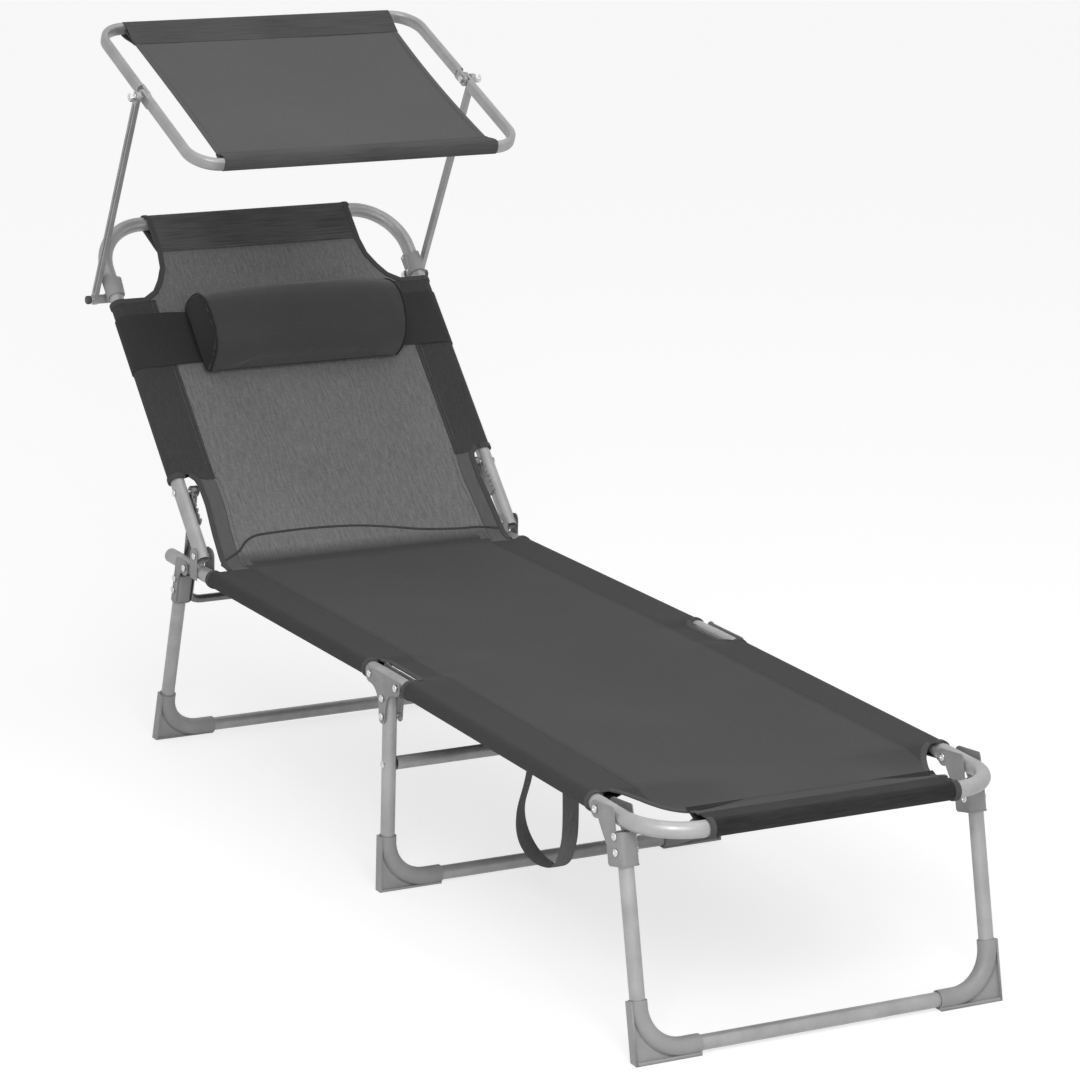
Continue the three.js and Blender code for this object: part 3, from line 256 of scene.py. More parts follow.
class Shader(Nodes):
    """A material's nodes."""

    def __init__(self, name, roughness, metallic=0.0, sheen=0.0, specular=0.5):
        self.material = bpy.data.materials.new(name)
        self.material.use_nodes = True
        super().__init__(self.material.node_tree)
        self.surface = self.tree.nodes["Principled BSDF"]
        for socket, value in (("Roughness", roughness), ("Metallic", metallic), ("Sheen Weight", sheen),
                              ("Specular IOR Level", specular)):
            self.surface.inputs[socket].default_value = value

    def mixed(self, factor, dark, light):
        return self.node("ShaderNodeMix", {0: factor, 6: dark, 7: light}, data_type="RGBA").outputs[2]

    def noise(self, where, scale, detail=3.0, stretch=(1, 1, 1), roughness=0.5):
        mapped = self.node("ShaderNodeMapping", {"Vector": where, "Scale": stretch}).outputs[0]
        return self.node("ShaderNodeTexNoise", {"Vector": mapped, "Scale": scale, "Detail": detail,
                                                "Roughness": roughness}).outputs[0]

    def spread(self, value, low, high, to_low, to_high):
        return self.node("ShaderNodeMapRange", {0: value, 1: low, 2: high, 3: to_low, 4: to_high}).outputs[0]

    def blended(self, first, second, weights):
        """Two values added, with a weight each."""
        return self.math("ADD", *(self.math("MULTIPLY", *pair) for pair in zip((first, second), weights)))

    def bump(self, height, strength, distance):
        made = self.node("ShaderNodeBump", {"Height": height, "Strength": strength, "Distance": distance})
        self.feed(self.surface.inputs["Normal"], made.outputs[0])

    def colour(self, value):
        self.feed(self.surface.inputs["Base Color"], value)

    def place(self):
        return self.node("ShaderNodeTexCoord").outputs["Object"]


def painted(name, dark, light, roughness, metallic, grain=900, depth=0.00006):
    """Powder coat or moulded plastic: a fine orange-peel grain, soft mottling and scuffed gloss."""
    shader = Shader(name, roughness, metallic)
    where = shader.place()
    cloudy = shader.noise(where, 28, 4)
    speck = shader.noise(where, grain, 2)
    blend = shader.blended(cloudy, speck, (0.7, 0.3))
    shader.colour(shader.mixed(shader.spread(blend, 0.35, 0.65, 0, 1), tint(dark), tint(light)))
    worn = shader.spread(shader.noise(where, 90, 5), 0.3, 0.7, roughness - 0.06, roughness + 0.08)
    shader.feed(shader.surface.inputs["Roughness"], worn)
    shader.bump(speck, 0.35, depth)
    return shader.material


def woven(name, dark, light, pitch, slub, slub_share, sheen=0.08, relief=0.00025, warp=3.0, painted_shade=None):
    """Woven cloth: crossing threads, with slubs drawn out along the cut's length, and optionally a painted
    shade that darkens its far end.
    """
    shader = Shader(name, 0.9, sheen=sheen, specular=0.1)
    where = shader.node("ShaderNodeUVMap", uv_map="cloth").outputs[0]
    parts = shader.node("ShaderNodeSeparateXYZ", {0: where})
    along, across = (shader.math("SINE", shader.math("MULTIPLY", parts.outputs[i], 2 * math.pi / pitch))
                     for i in (0, 1))
    threads = shader.math("MULTIPLY", along, across)
    drawn = shader.noise(where, 1, 3, (slub[0], slub[1], 1), 0.6)
    crossed = shader.noise(where, 1, 2, (slub[1] * 0.7, slub[0] * warp, 1), 0.6)
    cloudy = shader.noise(where, 5, 3)
    drawn = shader.blended(drawn, crossed, (0.65, 0.35))
    streak = shader.spread(drawn, 0.34, 0.66, 0.5 - slub_share / 2, 0.5 + slub_share / 2)
    tone = shader.math("ADD", streak, shader.math("MULTIPLY", threads, 0.10))
    tone = shader.math("ADD", tone, shader.spread(cloudy, 0.3, 0.7, -0.12, 0.12))
    cloth_colour = shader.mixed(tone, tint(dark), tint(light))
    # painted shade: the cloth turns darker towards the far end of its length
    if painted_shade:
        start, end, below = painted_shade
        share = shader.spread(parts.outputs[0], start, end, 0, 1)
        cloth_colour = shader.mixed(share, cloth_colour, tint(below))
    shader.colour(cloth_colour)
    shader.bump(shader.math("ADD", threads, shader.math("MULTIPLY", drawn, 1.5)), 0.5, relief)
    return shader.material


def brushed(name, dark, light, roughness):
    """Plated steel with fine drawn lines."""
    shader = Shader(name, roughness, metallic=0.9)
    lines = shader.noise(shader.place(), 260, 3, (1, 6, 1))
    shader.colour(shader.mixed(shader.spread(lines, 0.3, 0.7, 0, 1), tint(dark), tint(light)))
    shader.bump(lines, 0.15, 0.00005)
    return shader.material


steel = painted("powder_coat", 158, 178, 0.40, 0.30)
hood_steel = painted("hood_coat", 156, 174, 0.38, 0.35)
pressed = painted("pressed_plate", 132, 149, 0.42, 0.3)
moulded = painted("grey_plastic", 146, 158, 0.5, 0.0, grain=1400, depth=0.00009)
dark_moulded = painted("dark_plastic", 60, 78, 0.45, 0.0, grain=1400)
zinc = brushed("plated_steel", 190, 225, 0.28)
# a darker steel for the prop bow and the beds of the arms' grooves: painted shade under the backrest and in
# the grooves' hollows
shaded_dark_steel = brushed("shaded_dark_steel", 96, 140, 0.42)
seat_weave = woven("seat_weave", 64, 77, 0.0016, (60, 420), 0.35)
# darker than the seat weave: on the hems for the doubled cloth, and on the sleeves round the rails as painted
# shade of their sides
doubled_and_shaded_weave = woven("doubled_and_shaded_weave", 54, 66, 0.0016, (60, 420), 0.45)
strip_weave = woven("strip_weave", 88, 106, 0.0016, (50, 360), 0.6)
# the back mesh gets a painted shade at its far end, where it bends into the seat
back_weave_shaded_fold = woven("back_weave_shaded_fold", 104, 136, 0.0018, (45, 300), 0.8, relief=0.0004, painted_shade=(0.597, 0.622, 68))
hood_weave = woven("hood_weave", 93, 106, 0.0013, (50, 380), 0.35)
panel_weave = woven("panel_weave", 57, 79, 0.0014, (60, 500), 0.6)
band_weave = woven("band_weave", 52, 66, 0.0014, (90, 400), 0.4)
# the front hem's twill is darker than the seat: partly its own weave, partly painted shade where the hem
# faces down and forward
end_hem_weave_shaded = woven("end_hem_weave_shaded", 34, 56, 0.0022, (300, 24), 0.7, warp=0.05, relief=0.0005)
heather_weave = woven("heather_weave", 62, 106, 0.0014, (420, 12), 0.8, warp=0.02)
hem_weave = woven("hem_weave", 70, 96, 0.0013, (420, 16), 0.7, warp=0.02)
pad_weave = woven("pad_weave", 61, 77, 0.0011, (90, 320), 0.3, sheen=0.25)
end_weave = woven("end_weave", 40, 54, 0.0011, (90, 320), 0.3)
tape_weave = woven("tape_weave", 70, 88, 0.0012, (40, 300), 0.4)
web_weave = woven("web_weave", 104, 132, 0.0022, (60, 500), 0.5, relief=0.0006)
thread = painted("thread", 96, 116, 0.7, 0.0)
dark_thread = painted("dark_thread", 34, 46, 0.8, 0.0)


# Lines and sections
def bent(corners, radius, steps=14):
    """Points on straight runs joined by bends of the given radius."""
    points = [corners[0]]
    for before, corner, after in zip(corners, corners[1:], corners[2:]):
        arriving, leaving = (before - corner).normalized(), (after - corner).normalized()
        half = arriving.angle(leaving) / 2
        centre = corner + (arriving + leaving).normalized() * (radius / math.sin(half))
        start = corner + arriving * (radius / math.tan(half)) - centre
        end = corner + leaving * (radius / math.tan(half)) - centre
        reach = start.length
        points += [centre + start.normalized().slerp(end.normalized(), step / steps) * reach
                   for step in range(steps + 1)]
    return points + [corners[-1]]


def tangent(line, i):
    """The direction of a line at one of its points."""
    ways = (line[min(i + 1, len(line) - 1)] - line[i], line[i] - line[max(i - 1, 0)])
    return sum((way.normalized() for way in ways if way.length > 1e-9), Vector()).normalized()


def looped(first, last, spread):
    """The four corners of a U: first and last are on the middle plane, and the legs stand spread from it."""
    reach = ACROSS * spread
    return [first - reach, last - reach, last + reach, first + reach]


def arc2(x, z, radius, start, end, steps=12):
    """Points on an arc in x and z; angles in degrees from +x towards +z."""
    angles = map(math.radians, even(start, end, steps))
    return [(x + radius * math.cos(a), z + radius * math.sin(a)) for a in angles]


def circle(radius, count=28):
    return arc2(0, 0, radius, 0, 360, count)[:-1]


def oval(width, height):
    """A flat-sided oval: width is across, height is the longer side."""
    straight = (height - width) / 2
    return arc2(0, straight, width / 2, 0, 180, 10) + arc2(0, -straight, width / 2, 180, 360, 10)


def curve2(start, control, end, steps=8):
    """Points on a curve from start to end, drawn towards the control point."""
    return [tuple((1 - t) ** 2 * a + 2 * t * (1 - t) * b + t * t * c for a, b, c in zip(start, control, end))
            for t in even(0, 1, steps)]


def smooth_curve(points, steps):
    """Points of a smooth curve through the given points, with as many steps between two of them."""
    padded = [points[0]] + points + [points[-1]]
    made = []
    for a, b, c, d in zip(padded, padded[1:], padded[2:], padded[3:]):
        for i in range(steps):
            t = i / steps
            made.append(tuple(0.5 * (2 * q + (r - p) * t + (2 * p - 5 * q + 4 * r - s) * t ** 2
                                     + (3 * q - p - 3 * r + s) * t ** 3) for p, q, r, s in zip(a, b, c, d)))
    return made + [points[-1]]


def distinct(points):
    """The points without repeats of the one before."""
    kept = [points[0]]
    kept += [b for a, b in zip(points, points[1:]) if math.dist(a, b) > 1e-5]
    return kept if math.dist(kept[0], kept[-1]) > 1e-5 else kept[:-1]


def travelled(points):
    """How far along a line each of its points lies."""
    lengths = [0.0]
    for before, after in zip(points, points[1:]):
        lengths.append(lengths[-1] + math.dist(before, after))
    return lengths


# Mesh building
class Work:
    """The mesh of one piece, gathered patch by patch, with a cloth map in metres."""

    def __init__(self):
        self.bm = bmesh.new()
        self.map = self.bm.loops.layers.uv.new("cloth")

    def grid(self, rows, columns, point, mapped=None, wrap=False, skin=0):
        """Quads between rows and columns of points. point and mapped take a row and a column."""
        verts = [self.ring(point(i, j) for j in range(columns)) for i in range(rows)]
        for i in range(rows - 1):
            for j in range(columns if wrap else columns - 1):
                ahead = (j + 1) % columns
                face = self.face((verts[i][j], verts[i + 1][j], verts[i + 1][ahead], verts[i][ahead]), skin)
                if mapped:
                    corners = ((i, j), (i + 1, j), (i + 1, j + 1), (i, j + 1))
                    for loop, corner in zip(face.loops, corners):
                        loop[self.map].uv = mapped(*corner)
        return verts

    def ring(self, points):
        return [self.bm.verts.new(point) for point in points]

    def face(self, verts, skin=0):
        made = self.bm.faces.new(verts)
        made.material_index = skin
        return made

    def bridge(self, first, second):
        for j in range(len(first)):
            ahead = (j + 1) % len(first)
            self.bm.faces.new((first[j], first[ahead], second[ahead], second[j]))

    def closed(self, rows, columns, point):
        """A grid round a body, with a face at both ends."""
        rings = self.grid(rows, columns, point, wrap=True)
        self.face(rings[0])
        self.face(rings[-1])

    def slab(self, low, high):
        """A solid between two outlines of as many points."""
        ends = [self.ring(low), self.ring(high)]
        caps = [self.face(end) for end in ends]
        self.bridge(*ends)
        return caps


def sweep(work, line, section, plane, hollow=None):
    """A section carried along a line in the plane with the given normal, solid or hollow."""
    def placed(shape):
        def point(i, j):
            out = tangent(line, i).cross(plane).normalized()
            return line[i] + out * shape[j][0] + plane * shape[j][1]
        return point

    outer = work.grid(len(line), len(section), placed(section), wrap=True)
    if hollow is None:
        work.face(outer[0])
        work.face(outer[-1])
        return
    inner = work.grid(len(line), len(hollow), placed(hollow), wrap=True)
    work.bridge(outer[0], inner[0])
    work.bridge(outer[-1], inner[-1])


def turned(work, side, profile, centre, steps=24, flutes=0, depth=0.0, skin=0):
    """A piece turned about a line across the lounger, from pairs of radius and place on one side of it."""
    def point(i, j):
        radius, place = profile[i]
        angle = 2 * math.pi * j / steps
        reach = radius + (depth * math.cos(flutes * angle) if radius > screw.washer else 0)
        return centre + Vector((reach * math.cos(angle), side * place, reach * math.sin(angle)))
    work.grid(len(profile), steps, point, wrap=True, skin=skin)


def disc(radius, rounding, near, far):
    """The profile of a disc with broken edges, for turning."""
    inset = radius - rounding
    return [(0, near), (inset, near), (radius, near + rounding), (radius, far - rounding), (inset, far),
            (0, far)]


def prism(work, side, outline, near, thickness, lip=0.0):
    """A flat plate on one side, outlined in x and z; its outer face may have a raised lip."""
    low, high = sorted((side * near, side * (near + thickness)))
    caps = work.slab(*([(x, y, z) for x, z in outline] for y in (low, high)))
    if lip:
        bmesh.ops.recalc_face_normals(work.bm, faces=work.bm.faces)
        outer = caps[0] if abs(low) > abs(high) else caps[1]
        bmesh.ops.inset_region(work.bm, faces=[outer], thickness=lip, depth=-lip * 0.4, use_even_offset=True)


def cut_at_floor(bm):
    geometry = bm.verts[:] + bm.edges[:] + bm.faces[:]
    cut = bmesh.ops.bisect_plane(bm, geom=geometry, plane_co=(0, 0, 0), plane_no=(0, 0, 1), clear_inner=True)
    rims = [e for e in cut["geom_cut"] if isinstance(e, bmesh.types.BMEdge)]
    bmesh.ops.holes_fill(bm, edges=rims, sides=0)


def as_object(name, bm):
    data = bpy.data.meshes.new(name)
    bm.to_mesh(data)
    bm.free()
    piece = bpy.data.objects.new(name, data)
    bpy.context.scene.collection.objects.link(piece)
    return piece


def applied(piece):
    """Bakes a piece's modifiers into its mesh."""
    graph = bpy.context.evaluated_depsgraph_get()
    data = bpy.data.meshes.new_from_object(piece.evaluated_get(graph))
    piece.modifiers.clear()
    piece.data = data
    return piece


def tied(piece, body):
    """Ties a piece to one body; a piece between two bodies only has its place baked into its mesh."""
    if isinstance(body, str):
        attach(piece, body)
    else:
        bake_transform(piece)


def finished(name, work, matrix, skins, body, replaces=(), bevel=0.0, rests_on=None, floor=False):
    """Turns gathered mesh into an object in the lounger's frame. A cloth, flagged by rests_on, is given its
    thickness; what it rests on is not used further.
    """
    bmesh.ops.remove_doubles(work.bm, verts=work.bm.verts, dist=2e-6)
    bmesh.ops.recalc_face_normals(work.bm, faces=work.bm.faces)
    bmesh.ops.transform(work.bm, matrix=matrix, verts=work.bm.verts)
    if floor:
        cut_at_floor(work.bm)
    piece = as_object(name, work.bm)
    for polygon in piece.data.polygons:
        polygon.use_smooth = True
    piece.data.set_sharp_from_angle(angle=math.radians(38))
    for skin in skins if isinstance(skins, list) else [skins]:
        piece.data.materials.append(skin)
    if bevel:
        edge = piece.modifiers.new("edges", "BEVEL")
        edge.width, edge.segments, edge.limit_method = bevel, 2, "ANGLE"
        edge.angle_limit = math.radians(38)
        edge.harden_normals = False
    if replaces:
        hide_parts(*([replaces] if isinstance(replaces, str) else replaces))
    if rests_on:
        declared(piece)
    tied(piece, body)


def cut_size(piece):
    """The flat size of a cloth piece from its map, and the area of the cut."""
    data = piece.data
    places = [Vector(loop.uv) for loop in data.uv_layers["cloth"].data]
    area = 0.0
    for polygon in data.polygons:
        ring = [places[i] for i in polygon.loop_indices]
        area += abs(sum(a.x * b.y - b.x * a.y for a, b in zip(ring, ring[1:] + ring[:1]))) / 2
    width = max(p.y for p in places) - min(p.y for p in places)
    length = max(p.x for p in places) - min(p.x for p in places)
    return (width, length), min(area, width * length)


def declared(piece):
    shell = piece.modifiers.new("thickness", "SOLIDIFY")
    shell.thickness, shell.offset = cloth.thickness, 0
    flat, area = cut_size(piece)
    applied(piece).data.set_sharp_from_angle(angle=math.radians(50))


# Tubes of the frame
def rail_cap(label, side):
    """A domed plastic cap pressed into the rail's rear end."""
    work = Work()
    radius, bore = tube.radius, tube.radius - tube.wall - clear.fit
    profile = [(radius * math.cos(math.pi / 2 * t), -rail.cap_flange * t ** 2) for t in even(1, 0, 6)]
    profile += [(radius, 0), (bore, 0), (bore, radius)]

    def point(i, j):
        reach, place = profile[i]
        angle = 2 * math.pi * j / 28
        return Vector((rail.rear_end + place - clear.seat, side * rail.spread + reach * math.cos(angle),
                       AXIS_Z + reach * math.sin(angle)))
    rings = work.grid(len(profile), 28, point, wrap=True)
    work.face(rings[-1])
    name = f"rail_cap_{label}"
    finished(f"{name}_dome", work, SEAT, moulded, "seat_frame", name)


def pipe(name, line, plane, matrix, body, radius=tube.radius, bevel=0.0):
    """A round tube of the frame along a line."""
    work = Work()
    sweep(work, line, circle(radius), plane, circle(radius - tube.wall))
    finished(f"{name}_tube", work, matrix, steel, body, name, bevel)


def leg_tube(name, lean, top, matrix, body):
    corners = looped(UP * top, UP * (leg.axis / math.cos(lean)), leg.spread)
    pipe(name, bent(corners, leg.bend), Vector((1, 0, 0)), matrix, body, leg.radius)


def crossbar():
    work = Work()
    reach = leg.spread - leg.radius - clear.seat
    line = [Vector((0, y, middle.crossbar_height)) for y in (-reach, reach)]
    sweep(work, line, circle(middle.crossbar_radius), UP, circle(middle.crossbar_radius - tube.wall))
    for _, side in SIDES:
        head = [(rivet.head * share, leg.spread + leg.radius + y) for share, y in crossbar_head]
        turned(work, side, head, UP * middle.crossbar_height, skin=1)
    name = "mid_leg_crossbar"
    finished(f"{name}_tube", work, MIDDLE, [steel, zinc], "mid_leg", name)


# Rivets, screws and catches
def cheeks(gap, thickness):
    """Where the outer and the inner plate beside a rail begin, from the middle plane."""
    reach = tube.radius + gap
    return (("outer", rail.spread + reach), ("inner", rail.spread - reach - thickness))


FLANKS = (rail.spread - tube.radius - plate.gap - plate.thickness,
          rail.spread + tube.radius + plate.gap + plate.thickness)
HINGE_FLANKS = (rail.spread - tube.radius - clear.seat - hinge_plate.thickness,
                rail.spread + tube.radius + clear.seat + hinge_plate.thickness)


def dome(place, outward):
    """A domed head that ends on the axis in a dimple, from its rim inwards."""
    crown, height = rivet.dimple, outward * rivet.height
    points = [(crown + (rivet.head - crown) * math.cos(a), place + height * (0.35 + 0.65 * math.sin(a)))
              for a in even(0, math.pi / 2, 6)]
    return points + [(crown * 0.6, place + height * 0.45), (0, place + height * 0.4)]


def rivet_profile(near, far):
    inner, outer = near - clear.seat, far + clear.seat
    return (dome(inner, -1)[::-1] + [(rivet.head, inner), (rivet.radius, inner), (rivet.radius, outer),
            (rivet.head, outer)] + dome(outer, 1))


def pin(name, side, flanks, centre, matrix, body):
    work = Work()
    turned(work, side, rivet_profile(*flanks), centre)
    finished(f"{name}_rivet", work, matrix, zinc, body, name)


def plate_rivets(name, heights, matrix, body):
    """The rivets that fix a leg in its plates, one row on each side."""
    work = Work()
    for _, side in SIDES:
        for height in heights:
            turned(work, side, rivet_profile(*FLANKS), UP * height)
    finished(name, work, matrix, zinc, body)


def thumb_screw(name, side, near, centre, grip_skin):
    """A square shank with a nut inside, and a washer and fluted grip outside."""
    inner, outer = near - clear.seat, arm.inner + arm.thickness + clear.seat
    neck, nut_end = outer + rivet.height, inner - screw.nut_height
    metal = Work()
    shank = [(0, nut_end), (screw.nut * 0.75, nut_end), (screw.nut, inner - screw.nut_height * 0.8),
             (screw.nut, inner), (screw.radius, inner), (screw.radius, outer), (screw.washer, outer),
             (screw.washer, neck), (0, neck)]
    turned(metal, side, shank, centre)
    knob = [(screw.knob * radius, neck + screw.knob_height * place) for radius, place in grip_form]
    turned(metal, side, knob, centre, 60, screw.flutes, screw.flute_depth, skin=1)
    finished(f"{name}_turned", metal, Matrix(), [zinc, grip_skin], name, name)


def catch(label, side):
    """The toothed catch that lies along the inner side of a backrest tube."""
    work = Work()
    spec = recline_catch
    spacing = (spec.top - spec.low) / spec.teeth
    outline = [(-spec.low, spec.near), (-spec.top, spec.near)]
    for i in range(spec.teeth):
        depth = spec.depth * (spec.worn if i % 3 == 1 else 1)
        start = spacing * i - spec.top
        outline += [(start + spacing * along, spec.far - depth * share) for along, share in spec.tooth]
    inner, outer = spec.flanks
    prism(work, side, outline, inner, outer - inner)
    for place, radius in spec.bosses:
        crown = inner - spec.crown
        boss = [(0, crown), (radius * 0.85, crown), (radius, inner), (radius, outer), (0, outer)]
        turned(work, side, boss, Vector((-place, 0, (spec.near + spec.far) / 2)), steps=18)
    finished(f"recline_catch_{label}", work, BACK, pressed, "backrest", bevel=plate.bevel)


# Plates
def plated(name, work, matrix, body, ending="plate"):
    finished(f"{name}_{ending}", work, matrix, pressed, body, name, plate.bevel)


def hinge_plates(label, side):
    """The plates that carry the backrest's pivot on both sides of the rail."""
    centre = SEAT.inverted() @ FOLD
    x, z = centre.x, centre.z
    low, high = AXIS_Z - tube.radius + hinge_plate.over, z + hinge_plate.top
    rear, bend = x - hinge_plate.rear, (x + hinge_plate.front, low)
    fronts = (hinge_plate.front, hinge_plate.inner_front)
    for front, (layer, near) in zip(fronts, cheeks(clear.seat, hinge_plate.thickness)):
        fore = x + front
        outline = [(rear, low)] + curve2(bend, (fore, low), (fore, AXIS_Z + tube.radius))
        outline += curve2((fore, z), (fore, high), (x, high)) + curve2((x, high), (rear, high), (rear, z))
        work = Work()
        prism(work, side, distinct(outline), near, hinge_plate.thickness)
        plated(f"hinge_plate_{layer}_{label}", work, SEAT, "seat_frame")


def mid_plates(label, side):
    """The T-shaped plates that carry the two pivots of the middle fold."""
    reach, eye, tip, up = middle.reach, middle.eye, middle.tip, AXIS_Z
    low = up - middle.drop
    outline = arc2(0, low, tip, 180, 360) + curve2((tip, low), (tip, up - eye), (reach, up - eye), 10)
    outline += arc2(reach, up, eye, -90, middle.shoulder) + arc2(-reach, up, eye, middle.shoulder, 270, 16)
    outline += curve2((-reach, up - eye), (-tip, up - eye), (-tip, low), 10)
    for layer, near in cheeks(plate.gap, plate.thickness):
        work = Work()
        prism(work, side, distinct(outline), near, plate.thickness, plate.lip)
        plated(f"mid_bracket_{layer}_{label}", work, MIDDLE, "mid_leg")


def leg_pivot(spec, joint):
    return leg_frame(spec).inverted() @ pivot(joint)


def under_rail(spec, across):
    lean = math.radians(abs(spec.tilt))
    return -(tube.radius + leg.head_gap + across * math.sin(lean)) / math.cos(lean)


def bracket_outline(spec, centre, offset):
    """One cheek of a leg bracket: an eye on the pivot, a neck, and a skirt down the leg."""
    near, far = offset - spec.skirt, offset + leg.radius + clear.seat + plate.thickness - bracket.corner
    eye, low = bracket.eye, -bracket.drop
    neck, neck_end = spec.neck
    points = [(near + bracket.chamfer, low), (far, low)]
    points += curve2((far, -leg.radius), (far, eye / 2), (offset, eye / 2))
    points += [(-x, z) for x, z in arc2(0, 0, eye, 90, -90, 18)]
    points += curve2((eye / 2, -eye), neck, (near, neck_end), 10) + [(near, low + bracket.chamfer)]
    return distinct([(centre.x - spec.side * across, centre.z + up) for across, up in points])


def leg_bracket(name, side, spec, centre, body):
    """A folded bracket: two cheeks on either side of the rail, joined by a web round the leg."""
    work = Work()
    offset = abs(centre.x)
    for _, near in cheeks(plate.gap, plate.thickness):
        prism(work, side, bracket_outline(spec, centre, offset), near, plate.thickness, plate.lip)
    half, corner = FLANKS[1] - rail.spread, bracket.corner
    reach = leg.radius + clear.seat + plate.thickness
    folds = []
    for inset in (0, plate.thickness):
        path = looped(Vector((reach - corner, 0, 0)), Vector((reach - inset, 0, 0)), inset - half)
        folds.append(bent(path, corner - inset - clear.faces, 8))
    top, low = centre.z + under_rail(spec, offset + reach), centre.z - bracket.drop
    ring = [(p.x, side * rail.spread + p.y) for p in folds[0] + folds[1][::-1]]
    work.closed(2, len(ring), lambda i, j: Vector((*ring[j], (low, top)[i])))
    shown = len(folds[0])
    rim = [(x * bracket.rim_long, side * rail.spread + (y - side * rail.spread) * bracket.rim_wide)
           for x, y in ring[:shown]] + ring[shown:]
    work.closed(2, len(rim), lambda i, j: Vector((*rim[j], (low - bracket.rim_below, low + bracket.rim)[i])))
    plated(name, work, leg_frame(spec), body, "folded")


# Feet
def box(work, outline, side, width):
    """A slab with its outline in y and z, centred on the leg's plane."""
    work.slab(*([(x, side * y, z) for y, z in distinct(outline)] for x in (-width / 2, width / 2)))


def foot_shoe(name, side, tilt, matrix, body):
    """A plastic foot: a socket round the bend, a recessed web, and an L-shaped rim on the floor."""
    lean = math.radians(tilt)
    low = leg.axis / math.cos(lean)
    inner, outer, top, inset = foot.outer - foot.along, foot.outer, foot.upright, foot.rim / 2
    corners = [Vector((0, side * y, z)) for y, z in ((leg.spread, top), (leg.spread, low), (inner, low))]
    work = Work()
    sweep(work, bent(corners, leg.bend, 16), circle(foot.sleeve, 32), Vector((1, 0, 0)),
          circle(leg.radius + clear.fit, 32))
    web = [(inner + inset, inset), (outer - inset, inset), (outer - inset, top - inset)]
    web += [(leg.spread, top - inset)] + arc2(leg.spread - leg.bend, low + leg.bend, leg.bend, 0, -90)
    web += [(inner + inset, low)]
    box(work, web, side, foot.web)
    sink = -foot.width / 2 * abs(math.tan(lean))
    for start, end, height in ((outer - foot.rim, outer, top),
                               (inner, outer - foot.rim - clear.faces, foot.rim)):
        box(work, [(start, sink), (end, sink), (end, height), (start, height)], side, foot.width)
    finished(f"{name}_shoe", work, matrix, moulded, body, name, edges.shoe, floor=True)


# Canopy arms, collars and frame
def collar_piece(label, side):
    """A plastic sleeve with a slanted top, a riveted flange inside and an ear behind for the bolt."""
    work = Work()
    bore = tube.radius + clear.fit
    outer, start = bore + collar.wall, -collar.start
    rings = ((outer, 0), (outer, 1), (bore, 1), (bore, 0), (outer, 0))

    def point(i, j):
        radius, top = rings[i]
        angle = 2 * math.pi * j / 36
        slant = collar.slant * (0.5 - 0.5 * math.sin(angle) * side)
        return Vector((start - top * (collar.length - slant), side * rail.spread + radius * math.sin(angle),
                       radius * math.cos(angle)))
    work.grid(len(rings), 36, point, wrap=True)
    near, far = rail.spread - collar.ear / 2, arm.inner - clear.seat
    ear = arc2(-collar.bolt, -collar.behind, collar.boss, 180, 360)
    ear += [(start, -tube.radius), (start - collar.length / 2, -tube.radius)]
    prism(work, side, distinct(ear), near, collar.ear)
    boss = disc(collar.boss, collar.round, near, far)
    turned(work, side, boss, Vector((-collar.bolt, 0, -collar.behind)))
    face = rail.spread - outer - collar.flange_sunk
    flange = [(start - x, z) for x, z in collar.flange]
    prism(work, side, flange, face, collar.flange_sunk + collar.flange_deep)
    head = [(collar.head * math.cos(a), face - collar.head_height * math.sin(a))
            for a in (0, 0.5, 1.0, math.pi / 2)]
    for place, height in collar.heads:
        turned(work, side, head, Vector((start - place, 0, height)), 16, skin=1)
    name = f"canopy_collar_{label}"
    finished(f"{name}_shell", work, BACK, [moulded, zinc], "backrest", name, edges.collar)


def canopy_arm(label, side):
    """A flat bar with round ends and a long groove in its outer face."""
    work = Work()
    half = math.degrees(math.asin(arm.width / 2 / arm.end))
    outline = arc2(0, 0, arm.end, half, 360 - half, 20)
    outline += arc2(arm.length, 0, arm.end, 180 + half, 540 - half, 20)
    prism(work, side, outline, arm.inner, arm.thickness)
    far = arm.inner + arm.thickness
    trough = arc2(arm.groove_start, 0, arm.groove, 90, 270)
    trough += arc2(arm.length - arm.groove_start, 0, arm.groove, -90, 90)
    caps = sorted(work.bm.faces, key=lambda f: -len(f.verts))[:2]
    outer = max(caps, key=lambda f: abs(f.calc_center_median().y))
    rim = list(outer.verts)
    work.bm.faces.remove(outer)
    lip = work.ring((x, side * far, z) for x, z in trough)
    bed = work.ring((x, side * (far - arm.groove_depth), z * 0.8) for x, z in trough)
    work.bridge(lip, bed)
    # the groove's bed takes the darker steel: painted shade in the hollow
    work.face(bed, 1)
    fill = [work.bm.edges.get(pair) or work.bm.edges.new(pair)
            for loop in (rim, lip) for pair in zip(loop, loop[1:] + loop[:1])]
    bmesh.ops.triangle_fill(work.bm, use_beauty=True, edges=fill)
    name = f"canopy_arm_{label}"
    finished(f"{name}_bar", work, ARM, [hood_steel, shaded_dark_steel], "canopy_arms", name,
             edges.arm)


